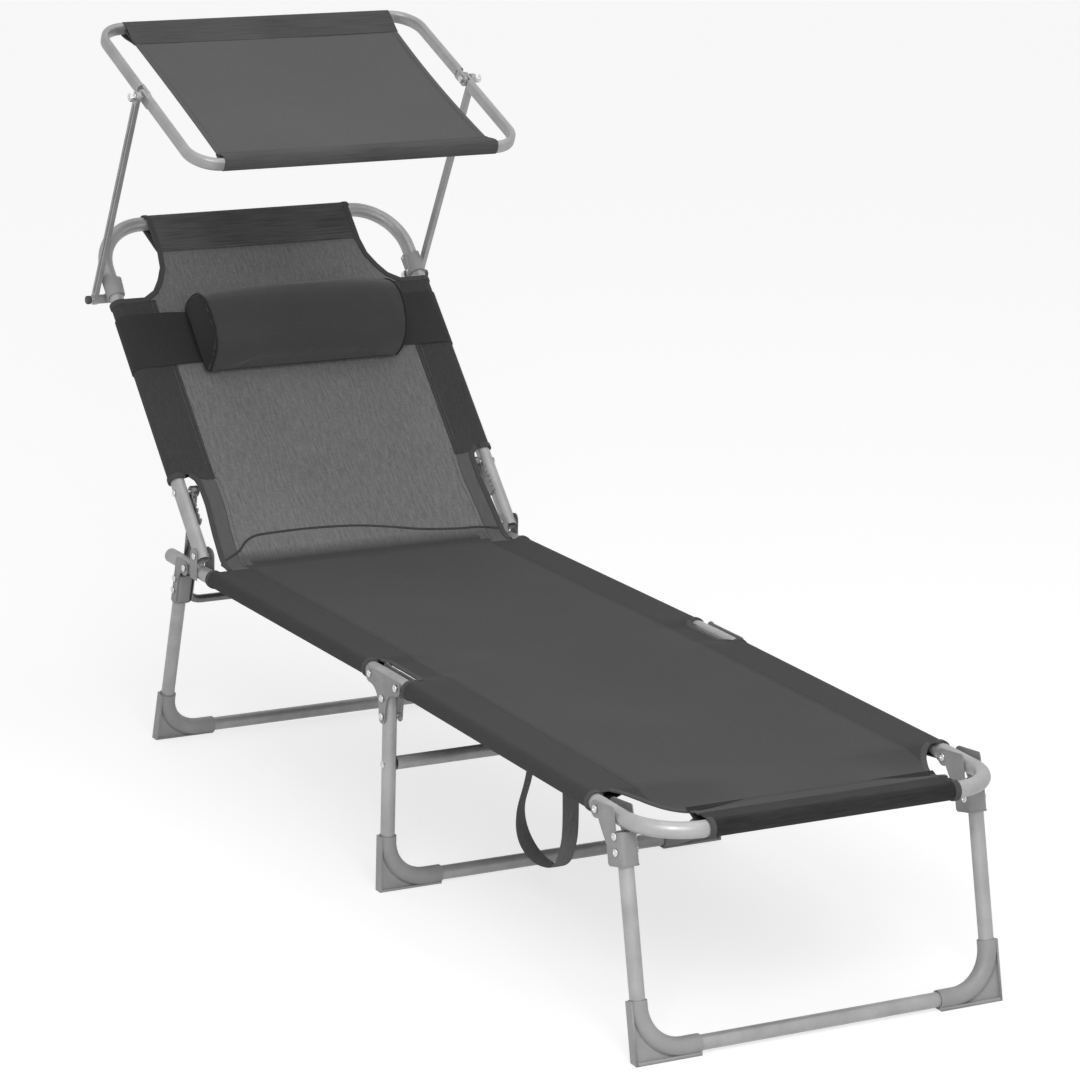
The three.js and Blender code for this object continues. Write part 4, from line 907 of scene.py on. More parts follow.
def hood_frame(label, end):
    """Half of the canopy frame: an oval tube bent to a U, with flattened ends that lap on the bolt."""
    work = Work()
    corners = looped(Vector((end * hood.lap, 0, 0)), Vector((end * hood.depth, 0, 0)), hood.spread)
    inside = oval(hood.width - 2 * tube.wall, hood.height - 2 * tube.wall)
    sweep(work, bent(corners, hood.bend), oval(hood.width, hood.height), UP, inside)
    half, plug = hood.height / 2 - tube.wall, end * (hood.lap + hood.plug)
    for _, side in SIDES:
        work.face(work.ring((plug, side * (hood.spread + y * hood.plug_fit), z * hood.plug_fit)
                            for y, z in inside))
    root = end * (hood.lap + hood.root)
    tongue = arc2(-end * (hood.tongue - half), 0, half, end * 90, end * 90 + 180)
    tongue += [(root, -end * half), (root, end * half)]
    near = hood.spread + (clear.seat if end > 0 else -hood.width / 2)
    for _, side in SIDES:
        prism(work, side, distinct(tongue), near, hood.width / 2 - clear.seat)
    name = f"canopy_frame_{label}"
    finished(f"{name}_tube", work, HOOD, hood_steel, f"canopy_{label}", name, edges.hood)


def prop_rod():
    """The bow that holds the backrest up, with an eye at each end."""
    lean = math.radians(prop.lean)
    down = Vector((math.cos(lean), 0, -math.sin(lean)))
    work = Work()
    corners = looped(down * prop.eye * 0.6, down * prop.length, prop.spread)
    sweep(work, bent(corners, prop.bend), circle(prop.radius, 24), down.cross(ACROSS))
    inner, outer = prop.spread - prop.radius * 0.95, prop.spread + prop.radius * 0.95
    for _, side in SIDES:
        turned(work, side, disc(prop.eye, prop.round, inner, outer), Vector())
    # the bow's darker steel is painted shade, where it sits under the backrest
    finished("prop_bow_rod", work, PROP, shaded_dark_steel, "prop_bow", "prop_bow")


# Cloth helpers
def ribbon(work, points, normals, width, thickness):
    """A tape laid along a line, with rounded edges."""
    half, inner, deep, crown = width / 2, width * 0.4, thickness / 2, thickness * 0.6
    shape = [(-half, 0), (-inner, deep), (0, crown), (inner, deep), (half, 0), (inner, -deep), (0, -crown),
             (-inner, -deep)]
    lengths = travelled(points)

    def point(i, j):
        ahead = tangent(points, i)
        out = ahead.cross(normals[i]).normalized()
        up = out.cross(ahead).normalized()
        a, b = shape[j]
        return points[i] + out * a + up * b
    rings = work.grid(len(points), len(shape), point, lambda i, j: (lengths[i], j * width / 4), True)
    work.face(rings[0])
    work.face(rings[-1])


def stitches(work, points, normals):
    """A line of raised stitches along points that lie close together."""
    lengths = travelled(points)
    place, index = 0.0, 0
    while place + stitch.length < lengths[-1]:
        middle_place = place + stitch.length / 2
        while index < len(points) - 2 and middle_place > lengths[index + 1]:
            index += 1
        before, after = points[index], points[index + 1]
        here = before.lerp(after, (middle_place - lengths[index]) / max((after - before).length, 1e-9))
        ahead, up = (after - before).normalized(), normals[index]
        out = ahead.cross(up).normalized() * stitch.width / 2
        run, rise = ahead * stitch.length / 2, up.normalized() * stitch.height
        verts = work.ring(here + way for way in (-run, -out, run, out, rise))
        for j in range(4):
            work.face((verts[j], verts[(j + 1) % 4], verts[4]))
        place += stitch.pitch


def taped(name, lines, body):
    """Edge tapes: each line is a list of points and a list of normals."""
    work = Work()
    for points, normals in lines:
        ribbon(work, points, normals, binding.width, binding.thickness)
    finished(name, work, Matrix(), tape_weave, body)


def sewn(name, lines, skin, body):
    """Rows of stitches: each line is a list of points and a list of normals, or one normal for all."""
    work = Work()
    for points, normals in lines:
        stitches(work, points, normals if isinstance(normals, list) else [normals] * len(points))
    finished(name, work, Matrix(), skin, body)


class Wrap:
    """A cloth's path across a tube: level over the middle, round the tube, and back to its stitched edge."""

    def __init__(self, spread, level, hem):
        self.spread, self.level = spread, level
        self.end = Vector((hem, level - seat.meet))
        reach = self.end - Vector((spread, 0))
        self.turn = math.atan2(reach.x, reach.y) % (2 * math.pi) - math.acos(level / reach.length)
        self.leave = Vector((spread + level * math.sin(self.turn), level * math.cos(self.turn)))
        self.arc_end = spread + level * self.turn
        self.total = self.arc_end + (self.end - self.leave).length

    def at(self, a):
        """Distance from the middle plane and height over the tube's axis, at a length across the cloth."""
        if a <= self.spread:
            return a, self.level
        if a <= self.arc_end:
            angle = (a - self.spread) / self.level
            return self.spread + self.level * math.sin(angle), self.level * math.cos(angle)
        return tuple(self.leave.lerp(self.end, (a - self.arc_end) / (self.total - self.arc_end)))

    def lengths(self, start, flat_steps=4):
        """Lengths across the cloth for a grid that starts at start."""
        over = even(start, self.spread, flat_steps)[:-1]
        return over + even(self.spread, self.arc_end, 18)[:-1] + even(self.arc_end, self.total, 4)


# The fold between backrest and seat
def seat_plane(x, height):
    return SEAT @ Vector((x, 0, AXIS_Z + height))


def back_plane(s, height):
    return BACK @ Vector((-s, 0, height))


class Fold:
    """The middle line of the sling where the backrest's plane meets the seat's."""

    def __init__(self, height):
        start, other = seat_plane(0, height), back_plane(0, height)
        seat_dir = (seat_plane(1, height) - start).normalized()
        back_dir = (back_plane(1, height) - other).normalized()
        gap = other - start
        cross = seat_dir.x * back_dir.z - seat_dir.z * back_dir.x
        self.seat_x = (gap.x * back_dir.z - gap.z * back_dir.x) / cross
        self.corner = start + seat_dir * self.seat_x
        self.back_s = (self.corner - other).dot(back_dir)
        self.seat_dir, self.back_dir = seat_dir, back_dir
        half = seat_dir.angle(back_dir) / 2
        self.tangent = fold_bend / math.tan(half)
        self.arc = fold_bend * (math.pi / 2 - half)
        self.centre = self.corner + (seat_dir + back_dir).normalized() * (fold_bend / math.sin(half))

    def at(self, length):
        """A point and its upward normal, at a length along the sling: below 0 on the backrest."""
        if length <= -self.arc:
            point = self.corner + self.back_dir * (self.tangent - length - self.arc)
            return point, Vector((self.back_dir.z, 0, -self.back_dir.x))
        if length >= self.arc:
            point = self.corner + self.seat_dir * (self.tangent + length - self.arc)
            return point, Vector((-self.seat_dir.z, 0, self.seat_dir.x))
        start, end = ((self.corner + way * self.tangent - self.centre).normalized()
                      for way in (self.back_dir, self.seat_dir))
        spoke = start.slerp(end, (length + self.arc) / (2 * self.arc))
        return self.centre + spoke * fold_bend, -spoke

    def from_back(self, s):
        """A place on the backrest as a length along the sling."""
        return self.back_s + self.tangent - self.arc - s

    def back_at(self, length):
        """A length along the sling as a place on the backrest."""
        return self.back_s + self.tangent - self.arc - length

    def from_seat(self, x):
        return x - self.seat_x - self.tangent + self.arc


fold = Fold(cloth.level)
FOLD_END = fold.seat_x + fold.tangent + 0.004
LOW_EDGE = -0.02
BLEND_MID = MIDDLE @ Vector((0, 0, AXIS_Z))
FOLD_CLOTH = ("backrest", "seat_frame", back_plane(0.055, 0), seat_plane(0.055, 0))
SEAT_CLOTH = ("seat_frame", "mid_leg", seat_plane(SEAM - 0.05, 0), BLEND_MID)
FOOT_CLOTH = ("mid_leg", "foot_section", BLEND_MID, FOOT @ Vector((SEAM + 0.05, 0, AXIS_Z)))
HOOD_CLOTH = ("canopy_rear", "canopy_front", HOOD @ Vector((-0.03, 0, 0)), HOOD @ Vector((0.03, 0, 0)))


def seat_sag(x, y):
    """How far the slung cloth hangs below its tubes, with its free edges at the notches and corners."""
    def hump(start, end):
        return math.sin(math.pi * clamped((x - start) / (end - start)))

    hang = seat.sag * hump(FOLD_END, foot_end.cross_tube) ** 0.7
    hang *= math.cos(math.pi / 2 * min(abs(y) / seat.waist, 1)) ** 2
    notch = rise(abs(y), *seat.notch_out) * (1 - rise(abs(x - SEAM), *seat.notch_along))
    corner = rise(abs(y), *seat.corner_out) * hump(foot_cloth.sleeve_front, foot_cloth.hem)
    return hang + seat.notch_drop * notch + seat.corner_drop * corner


# Seat cloth
def sling_panel(work, xs, half, place, origin):
    """The level part of the seat or foot cloth: the hems are doubled, so they take the darker weave that also
    goes on the sleeves, where it is painted shade of their sides.
    """
    columns = [(-1, j) for j in range(13, 0, -1)] + [(1, j) for j in range(14)]

    def y_at(i, j):
        limit, (sign, index) = half(xs[i]), columns[j]
        turn_in = min(seat.hem + seat.hem_lap, limit - seat.hem_least)
        return sign * (turn_in * index / 9 if index < 10 else turn_in + (limit - turn_in) * (index - 9) / 4)
    work.grid(len(xs), len(columns), lambda i, j: place(xs[i], y_at(i, j)),
              lambda i, j: (xs[i] - origin, y_at(i, j)))
    for number, face in enumerate(work.bm.faces):
        j = number % (len(columns) - 1)
        face.material_index = 1 if min(columns[j][1], columns[j + 1][1]) >= 9 else 0


def cloth_panel(work, xs, half, place, origin, rows_across, skin=0):
    """The level part of a sling: half gives its half width at a place along it."""
    shares = even(-1, 1, rows_across)
    work.grid(len(xs), len(shares), lambda i, j: place(xs[i], shares[j] * half(xs[i])),
              lambda i, j: (xs[i] - origin, shares[j] * half(xs[i])), skin=skin)


def sleeve_patch(work, wrap, side, ends, place, origin, inner, columns=26, skin=0):
    """A sleeve from its inner line round the tube to its hem. ends gives its two ends at a length across."""
    across = wrap.lengths(inner)

    def x_at(i, j):
        start, end = ends(across[i])
        return start + (end - start) * j / (columns - 1)

    def point(i, j):
        y, z = wrap.at(across[i])
        return place(x_at(i, j), side * y, z)
    work.grid(len(across), columns, point, lambda i, j: (x_at(i, j) - origin, side * across[i]), skin=skin)


def on_section(matrix):
    """Places a point of a sling on its section, with its sag; both sections meet in one line at the seam."""
    def place(x, y, z=cloth.level):
        drop = 0.0
        if z >= cloth.level - 1e-6 and abs(y) < rail.spread - tube.radius:
            calm = smooth((seat.waist - abs(y)) / cloth.calm) * rise(x, FOLD_END, cloth.calm)
            drop = seat_sag(x, y) + wrinkle(x, y, *seat.wrinkle) * calm
        point = matrix @ Vector((x, y, AXIS_Z + z - drop))
        level = MIDDLE @ Vector((x - SEAM, y, AXIS_Z + z - drop + seat.crest))
        return point.lerp(level, 1 - rise(abs(x - SEAM), *seat.joined))
    return place


seat_wrap = Wrap(rail.spread, cloth.level, seat.hem)
front_wrap = Wrap(foot_end.cross_tube, cloth.level, foot_end.cross_tube - foot_cloth.wrap)
on_seat, on_foot = on_section(SEAT), on_section(FOOT)


def flare(a, size, over):
    """How far a sleeve's end runs out at a length across, beside the rail's middle."""
    return size * smooth((rail.spread - a) / over)


def seat_sling():
    """The seat's cloth, with its sleeves round both rails and the cut-outs at the middle bracket."""
    work = Work()
    rear = FOLD_END - 0.003
    xs = stations(rear, seat.sleeve_front, 0.02) + stations(seat.sleeve_front, SEAM, 0.008)[1:]
    sling_panel(work, xs, lambda x: seat.waist, on_seat, rear)

    def ends(a):
        start = max(rear, seat.sleeve_rear - flare(a, *seat.rear_flare))
        return start, seat.sleeve_front + flare(a, *seat.seam_flare)
    for _, side in SIDES:
        sleeve_patch(work, seat_wrap, side, ends, on_seat, rear, seat.waist, skin=1)
    finished("seat_sling", work, Matrix(), [seat_weave, doubled_and_shaded_weave], SEAT_CLOTH, "seat_fabric",
             rests_on=["rail_left", "rail_right"])


def foot_half(x):
    """Half width of the foot cloth between its side sleeves and its front hem."""
    return on_table(foot_cloth.edge, x, foot_cloth.front_half)


def front_hem(work, rear):
    """The hem round the front tube, wider than the cloth where that leaves it."""
    over = stations(foot_cloth.hem, foot_end.cross_tube, 0.006)[:-1]
    across = over + front_wrap.lengths(foot_end.cross_tube)[4:]

    def half(a):
        start = foot_half(foot_cloth.hem)
        return start + (foot_cloth.front_half - start) * rise(a, foot_cloth.hem, foot_cloth.widening)

    def place(a, y):
        if a < foot_end.cross_tube:
            return on_foot(a, y)
        x, z = front_wrap.at(a)
        return FOOT @ Vector((x, y, AXIS_Z + z))
    # skin 2 is the darker hem weave, partly painted shade
    cloth_panel(work, across, half, place, rear, 24, skin=2)


def foot_sling():
    """The foot section's cloth: side sleeves, open corners and a hem round the front tube."""
    work = Work()
    xs = stations(SEAM, 0.668, 0.008) + stations(0.668, foot_cloth.sleeve_front, 0.02)[1:]
    xs += stations(foot_cloth.sleeve_front, foot_cloth.hem, 0.004)[1:]
    sling_panel(work, xs, foot_half, on_foot, SEAM)

    def ends(a):
        start = foot_cloth.sleeve_rear - flare(a, *seat.seam_flare)
        return start, foot_cloth.sleeve_front - flare(a, *foot_cloth.front_flare)
    for _, side in SIDES:
        sleeve_patch(work, seat_wrap, side, ends, on_foot, SEAM, seat.waist, skin=1)
    front_hem(work, SEAM)
    finished("foot_sling", work, Matrix(), [seat_weave, doubled_and_shaded_weave, end_hem_weave_shaded], FOOT_CLOTH,
             "foot_fabric", rests_on=["foot_frame"])


# Backrest cloth
def back_half(s):
    """Half width of the mesh on the backrest: a free edge below the sleeves, and the eye cut-outs above."""
    if s < back_cloth.sleeve_start:
        wider, over = back_cloth.shoulder
        shoulder = wider * rise(s, back_cloth.sleeve_start - over, over) ** 2
        return on_table(back_cloth.low, s, back_cloth.low[-1][1]) + shoulder
    if s <= back_cloth.sleeve_end:
        return back_cloth.waist
    return on_table(back_cloth.edge, s, back_cloth.top_half)


def low_half(length):
    """Half width of the mesh at a length along the sling, also just below the backrest."""
    return back_half(max(fold.back_at(length), LOW_EDGE))


def back_place(length, y, lift=0.0):
    """A point of the backrest's cloth at a length along the sling, with its sag."""
    point, up = fold.at(length)
    s = fold.back_at(length)
    sag = back_cloth.sag * math.sin(math.pi * clamped(s / back.length)) ** 0.6
    sag *= math.cos(math.pi / 2 * min(abs(y) / back_cloth.waist, 1)) ** 2
    sag += wrinkle(s, y, *back_cloth.wrinkle) * smooth((back_cloth.waist - abs(y)) / cloth.calm)
    return Vector((point.x, y, point.z)) + up * (lift - sag)


def back_sling():
    """The backrest's mesh, from its top edge down through the fold to the seat."""
    work = Work()
    top, high, low = (fold.from_back(s) for s in (back.length, back_cloth.sleeve_end, 0.0))
    end = fold.from_seat(FOLD_END)
    lengths = stations(top, high, 0.006) + stations(high, low, 0.018)[1:] + stations(low, end, 0.004)[1:]

    def half(length):
        s = fold.back_at(length)
        if s < fold.back_s * 0.8:
            return back_cloth.low[0][1] + 0.004 * rise(length, low, 0.03) - 0.008 * rise(length, -0.01, 0.03)
        return back_half(s)
    cloth_panel(work, lengths, half, back_place, top, 30)
    for face in work.bm.faces:
        local = BACK.inverted() @ face.calc_center_median()
        if -local.x < back_cloth.sleeve_start and abs(local.y) > back_cloth.panel - 0.004:
            face.material_index = 1
    finished("back_sling", work, Matrix(), [back_weave_shaded_fold, strip_weave], FOLD_CLOTH,
             "backrest_fabric", rests_on=["backrest_frame"])


back_wrap = Wrap(rail.spread, cloth.lifted, back_cloth.panel + 0.002)
top_wrap = Wrap(back.length, cloth.lifted, back_cloth.hem + 0.002)


def side_panel(label, side):
    """The dark cloth sleeve on one side of the backrest."""
    work = Work()

    def ends(a):
        inside = rise(a, *back_cloth.panel_inside)
        return (back_cloth.sleeve_start - 0.012 * inside + 0.004 * rise(a, *back_cloth.panel_outside),
                back_cloth.sleeve_end + 0.003 * inside)
    sleeve_patch(work, back_wrap, side, ends, lambda s, y, z: BACK @ Vector((-s, y, z)), 0, back_cloth.panel,
                 40)
    finished(f"back_side_panel_{label}", work, Matrix(), panel_weave, "backrest",
             rests_on=["back_sling", "backrest_frame"])


def top_sleeve():
    """The heather sleeve round the backrest's cross tube."""
    work = Work()

    def place(a, y):
        s, z = top_wrap.at(a)
        return BACK @ Vector((-s, y, z))
    lengths = top_wrap.lengths(back_cloth.hem, 6)
    cloth_panel(work, lengths, lambda a: back_cloth.top_half + 0.002, place, 0, 28)
    finished("back_top_sleeve", work, Matrix(), heather_weave, "backrest",
             rests_on=["back_sling", "backrest_frame"])


# Bindings and seams
EYE_RIM = back_cloth.sleeve_end + binding.width / 2


def tube_rim(matrix, centre, out, level, angles):
    """A bound edge round a tube: it turns from upwards towards out."""
    spokes = [out * math.sin(a) + UP * math.cos(a) for a in angles]
    points = [matrix @ (centre + spoke * level) for spoke in spokes]
    return points, [matrix.to_3x3() @ spoke for spoke in spokes]


def sleeve_rim(matrix, x, z, side, level):
    """The bound end of a sleeve."""
    return tube_rim(matrix, Vector((x, side * rail.spread, z)), ACROSS * side, level,
                    stations(-0.9, math.pi * 1.05, 0.22))


def front_rim(side):
    y = side * (foot_cloth.front_half - binding.width * 0.3)
    return tube_rim(FOOT, Vector((foot_end.cross_tube, y, AXIS_Z)), Vector((1, 0, 0)), cloth.lifted,
                    stations(-0.1, math.pi * 1.05, 0.22))


def eye_line(side):
    """The bound edge of a top corner's cut-out, from the tube up to the hem and over the cross tube."""
    flat = [(EYE_RIM, y) for y in (0.262, 0.250, 0.243)]
    flat += [(s, back_half(s) - binding.width * 0.35) for s in stations(EYE_RIM, back.length, 0.006)]
    points = [BACK @ Vector((-s, side * y, cloth.lifted)) for s, y in flat]
    centre = Vector((-back.length, side * back_cloth.top_half, 0))
    over, normals = tube_rim(BACK, centre, Vector((-1, 0, 0)), cloth.lifted,
                             stations(0, math.radians(190), 0.2)[1:])
    return points + over, [upward(BACK)] * len(points) + normals


def low_edge_line(side):
    """The bound free edge from the side panel down to the seat rail."""
    points, normals = [], []
    start, end = fold.from_back(back_cloth.sleeve_start - 0.001), fold.from_seat(fold.seat_x + fold.tangent)
    for length in stations(start, end, 0.006):
        point, up = fold.at(length)
        half = low_half(length) - binding.width * 0.4
        points.append(Vector((point.x, side * half, point.z)) + up * cloth.thickness)
        normals.append(up)
    return points, normals


def flat_edge(place, matrix, pairs):
    points = [place(x, y) + UP * (cloth.thickness * 0.3) for x, y in pairs]
    return points, [upward(matrix)] * len(points)


def notch_edge(place, matrix, start, end, narrow):
    """Both bound edges of a sling where it is cut out for the middle bracket."""
    edge = seat.waist - binding.width * 0.3
    return [flat_edge(place, matrix, [(x, side * (edge + 0.009 * smooth(narrow(x) / 0.014)))
                                      for x in stations(start, end, 0.005)])
            for _, side in SIDES]


def bindings():
    lines = [eye_line(side) for _, side in SIDES]
    lines += [sleeve_rim(BACK, -s, 0, side, cloth.doubled) for s in (EYE_RIM, back_cloth.sleeve_start)
              for _, side in SIDES]
    taped("back_binding", lines, "backrest")
    taped("fold_binding", [low_edge_line(side) for _, side in SIDES], FOLD_CLOTH)
    taped("seat_binding", [sleeve_rim(SEAT, x, AXIS_Z, side, cloth.lifted) for _, side in SIDES
                           for x in (seat.sleeve_rear, seat.sleeve_front)], "seat_frame")
    taped("seat_notch_binding", notch_edge(on_seat, SEAT, 0.550, SEAM, lambda x: 0.566 - x), SEAT_CLOTH)
    taped("foot_notch_binding", notch_edge(on_foot, FOOT, SEAM, 0.660, lambda x: x - 0.644), FOOT_CLOTH)
    front = foot_cloth.sleeve_front - 0.004
    lines = [sleeve_rim(FOOT, x, AXIS_Z, side, cloth.lifted) for _, side in SIDES
             for x in (foot_cloth.sleeve_rear, front)]
    for _, side in SIDES:
        pairs = [(x, side * (foot_half(x) - binding.width * 0.3))
                 for x in stations(front, foot_cloth.hem + 0.004, 0.004)]
        lines += [flat_edge(on_foot, FOOT, pairs), front_rim(side)]
    taped("foot_binding", lines, "foot_section")


def seat_seams():
    """Sewn lines along the hems of the seat and foot cloths."""
    lift, up = upward(SEAT) * (cloth.thickness / 2), upward(SEAT)

    def hems(place, start, end):
        return [([place(x, side * (seat.hem + inset)) + lift for x in stations(start, end, 0.01)], up)
                for _, side in SIDES for inset in (0, 0.005)]
    sewn("seat_stitching", hems(on_seat, 0.036, 0.555), dark_thread, "seat_frame")
    ys = stations(-foot_cloth.front_half + 0.012, foot_cloth.front_half - 0.012, 0.01)
    front = [([on_foot(foot_end.cross_tube - 0.050 + inset, y) + lift for y in ys], up)
             for inset in (0, 0.005)]
    sewn("foot_stitching", hems(on_foot, 0.66, foot_cloth.sleeve_front) + front, dark_thread, "foot_section")


def back_seams():
    """The raised cord in an arch where the mesh turns into the seat, and the backrest's sewn lines."""
    work = Work()
    path = [(fold.from_back(s), y) for y, s in smooth_curve(arch.path, arch.steps)]
    points = [back_place(length, y, cloth.thickness * 0.8) for length, y in path]
    ribbon(work, points, [fold.at(length)[1] for length, _ in path], arch.width, arch.thickness)
    finished("arch_seam", work, Matrix(), panel_weave, FOLD_CLOTH)
    lengths = stations(fold.from_back(back_cloth.sleeve_start), fold.arc * 0.6, 0.006)
    ups = [fold.at(length)[1] for length in lengths]
    low = [([back_place(length, side * (low_half(length) - inset), cloth.thickness * 0.6)
             for length in lengths], ups) for _, side in SIDES for inset in (0.030, 0.037)]
    sewn("fold_stitching", low, dark_thread, FOLD_CLOTH)
    up, places = upward(BACK), stations(back_cloth.sleeve_start + 0.014, back_cloth.sleeve_end, 0.01)
    panels = [([BACK @ Vector((-s, side * (back_cloth.panel + inset), cloth.doubled)) for s in places], up)
              for _, side in SIDES for inset in (0.002, 0.008)]
    panels += [([BACK @ Vector((-back_cloth.hem - inset, y, cloth.doubled))
                 for y in stations(-0.168, 0.168, 0.01)], up) for inset in (0.002, 0.007)]
    sewn("back_stitching", panels, thread, "backrest")


# Head rest
def head_band():
    """The band that holds the pillow: a flat loop round both sleeves, drawn in a little behind the pillow."""
    work = Work()
    level, half = cloth.level + 3 * cloth.thickness, rail.spread
    around = []
    for face in (1, -1):
        around += [(y, face * level, face) for y in stations(-face * half, face * half, 0.02)]
        around += [(face * (half + level * math.sin(a)), face * level * math.cos(a), 0)
                   for a in stations(0.15, math.pi - 0.15, 0.25)]
    lengths = travelled([place[:2] for place in around + around[:1]])

    def point(i, j):
        y, off, face = around[j]
        share = i / (band.rows - 1) - 0.5
        width = band.width * (1 - band.drawn_in * smooth((0.23 - abs(y)) / 0.1))
        bulge = band.bulge * math.sin(y * 70 + share * 5) * (face != 0)
        return BACK @ Vector((-band.place - share * width, y, off + bulge + face * band.off))
    step = band.width / (band.rows - 1)
    work.grid(band.rows, len(around), point, lambda i, j: (i * step, lengths[j]), wrap=True)
    finished("head_band", work, Matrix(), band_weave, "headrest", "headrest_band",
             rests_on=["backrest_frame", "backrest_fabric"])


PILLOW_BACK = cloth.level + 5 * cloth.thickness


def pillow_ring(y, scale, count, inset=0.0):
    """One ring of the bolster: flat behind, domed in front."""
    points = []
    rise = (1 - scale) * pillow.thickness * 0.3
    for i in range(count):
        angle = 2 * math.pi * i / count
        across, out = math.cos(angle), math.sin(angle)
        depth = out ** 0.86 * (pillow.thickness - inset) * scale if out > 0 else 0
        width = abs(across) ** (0.86 if out > 0 else 1.06) * (pillow.height / 2 - inset) * scale
        points.append(Vector((math.copysign(width, across) - pillow.place, y,
                              PILLOW_BACK + inset * 0.5 + rise + depth)))
    return points


def pillow_shell(inset):
    """The bolster before it is filled, a little smaller than its final size."""
    work = Work()
    outer, half = pillow.half - inset, pillow.half - pillow.puff
    ends = [(outer, 0.35), (outer - pillow.puff * 0.3, 0.72), (half - inset * 0.5, 0.93)]
    rows = [(-y, scale) for y, scale in ends]
    rows += [(share * half, 1 - 0.05 * abs(share) ** 6) for share in stations(-0.94, 0.94, 0.08)] + ends[::-1]
    rings = [pillow_ring(y, scale, 56, inset) for y, scale in rows]
    work.closed(len(rings), 56, lambda i, j: rings[i][j])
    bmesh.ops.remove_doubles(work.bm, verts=work.bm.verts, dist=1e-5)
    bmesh.ops.recalc_face_normals(work.bm, faces=work.bm.faces)
    return as_object("pillow_shell", work.bm)


def filled(shell):
    """Inflates a sewn shell as cloth, keeping each point within reach of where it began."""
    remesh = shell.modifiers.new("remesh", "REMESH")
    remesh.mode, remesh.voxel_size = "VOXEL", pillow.voxel
    applied(shell)
    start = [v.co.copy() for v in shell.data.vertices]
    soft = shell.modifiers.new("cloth", "CLOTH")
    soft.settings.use_pressure = True
    soft.settings.uniform_pressure_force = pillow.pressure
    soft.settings.tension_stiffness = pillow.stiffness
    soft.settings.effector_weights.gravity = 0
    soft.point_cache.frame_start, soft.point_cache.frame_end = 1, pillow.frames
    scene = bpy.context.scene
    for number in range(1, pillow.frames + 1):
        scene.frame_set(number)
    applied(shell)
    scene.frame_set(1)
    for vertex, began in zip(shell.data.vertices, start):
        move = vertex.co - began
        if move.length > pillow.reach:
            vertex.co = began + move * (pillow.reach / move.length)
    return shell


def gathered(data):
    """Puckers the pillow's cloth near its ends, keeps its back flat and gives it a cloth map."""
    layer = data.uv_layers.get("cloth") or data.uv_layers.new(name="cloth")
    for vertex in data.vertices:
        co = vertex.co
        push = Vector((co.x + pillow.place, 0, co.z - PILLOW_BACK - pillow.thickness / 2))
        if push.length > 1e-6 and co.z > PILLOW_BACK + 0.01:
            gather = noise.noise(Vector((co.x * 20, co.y * 60, co.z * 20)))
            near_end = rise(abs(co.y), pillow.half - pillow.gathered, pillow.gathered)
            vertex.co = co + push.normalized() * gather * pillow.gather * near_end
        vertex.co.z = max(vertex.co.z, PILLOW_BACK)
    data.update()
    for loop in data.loops:
        co = data.vertices[loop.vertex_index].co
        angle = math.atan2(co.z - PILLOW_BACK, co.x + pillow.place)
        layer.data[loop.index].uv = (co.y, angle * pillow.height / 2)


def head_pillow():
    """The bolster with dark ends, and the piping round them."""
    shell = filled(pillow_shell(pillow.inset))
    data = shell.data
    gathered(data)
    data.materials.clear()
    data.materials.append(pad_weave)
    data.materials.append(end_weave)
    for polygon in data.polygons:
        polygon.use_smooth = True
        at_end = abs(polygon.center.y) > pillow.half - 2 * pillow.puff and abs(polygon.normal.y) > 0.6
        polygon.material_index = 1 if at_end else 0
    shell.name = "head_pillow"
    finer = shell.modifiers.new("finer", "SUBSURF")
    finer.levels = finer.render_levels = 1
    tree = BVHTree.FromObject(shell, bpy.context.evaluated_depsgraph_get())
    ends = Work()
    for _, side in SIDES:
        targets = pillow_ring(side * (pillow.half - pillow.puff * 0.9), 1.15, 72)
        found = [tree.find_nearest(target)[:2] for target in targets + targets[:1]]
        ribbon(ends, [spot + normal * 0.0006 for spot, normal in found], [normal for _, normal in found],
               *pillow.piping)
    finished("pillow_piping", ends, BACK, end_weave, "headrest")
    data.transform(BACK)
    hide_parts("headrest_pillow")
    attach(shell, "headrest")


# Canopy cloth
HOOD_INNER = hood.depth - hood.width / 2


def hood_half(x):
    return hood.cloth_half - hood.dip * (1 - min(x / hood.depth, 1) ** 2)


def hood_sag(x, across):
    """How far the canopy's cloth hangs, at a place along it and a share of its half width."""
    return hood.sag * (1 - (min(x, HOOD_INNER) / HOOD_INNER) ** 2) * (
        hood.edge_sag + (1 - hood.edge_sag) * math.cos(math.pi / 2 * across))


def hood_sheet():
    """The canopy's cloth: one sheet between the two bars, drawn in a little at its sides."""
    work = Work()

    def place(x, y):
        return HOOD @ Vector((x, y, wrinkle(x, y, *hood.wrinkle) - hood_sag(x, y / hood.cloth_half)))
    cloth_panel(work, stations(-HOOD_INNER, HOOD_INNER, 0.008), hood_half, place, -hood.depth, 32)
    finished("hood_sheet", work, Matrix(), hood_weave, HOOD_CLOTH,
             ("canopy_fabric_rear", "canopy_fabric_front"),
             rests_on=["canopy_frame_rear", "canopy_frame_front"])


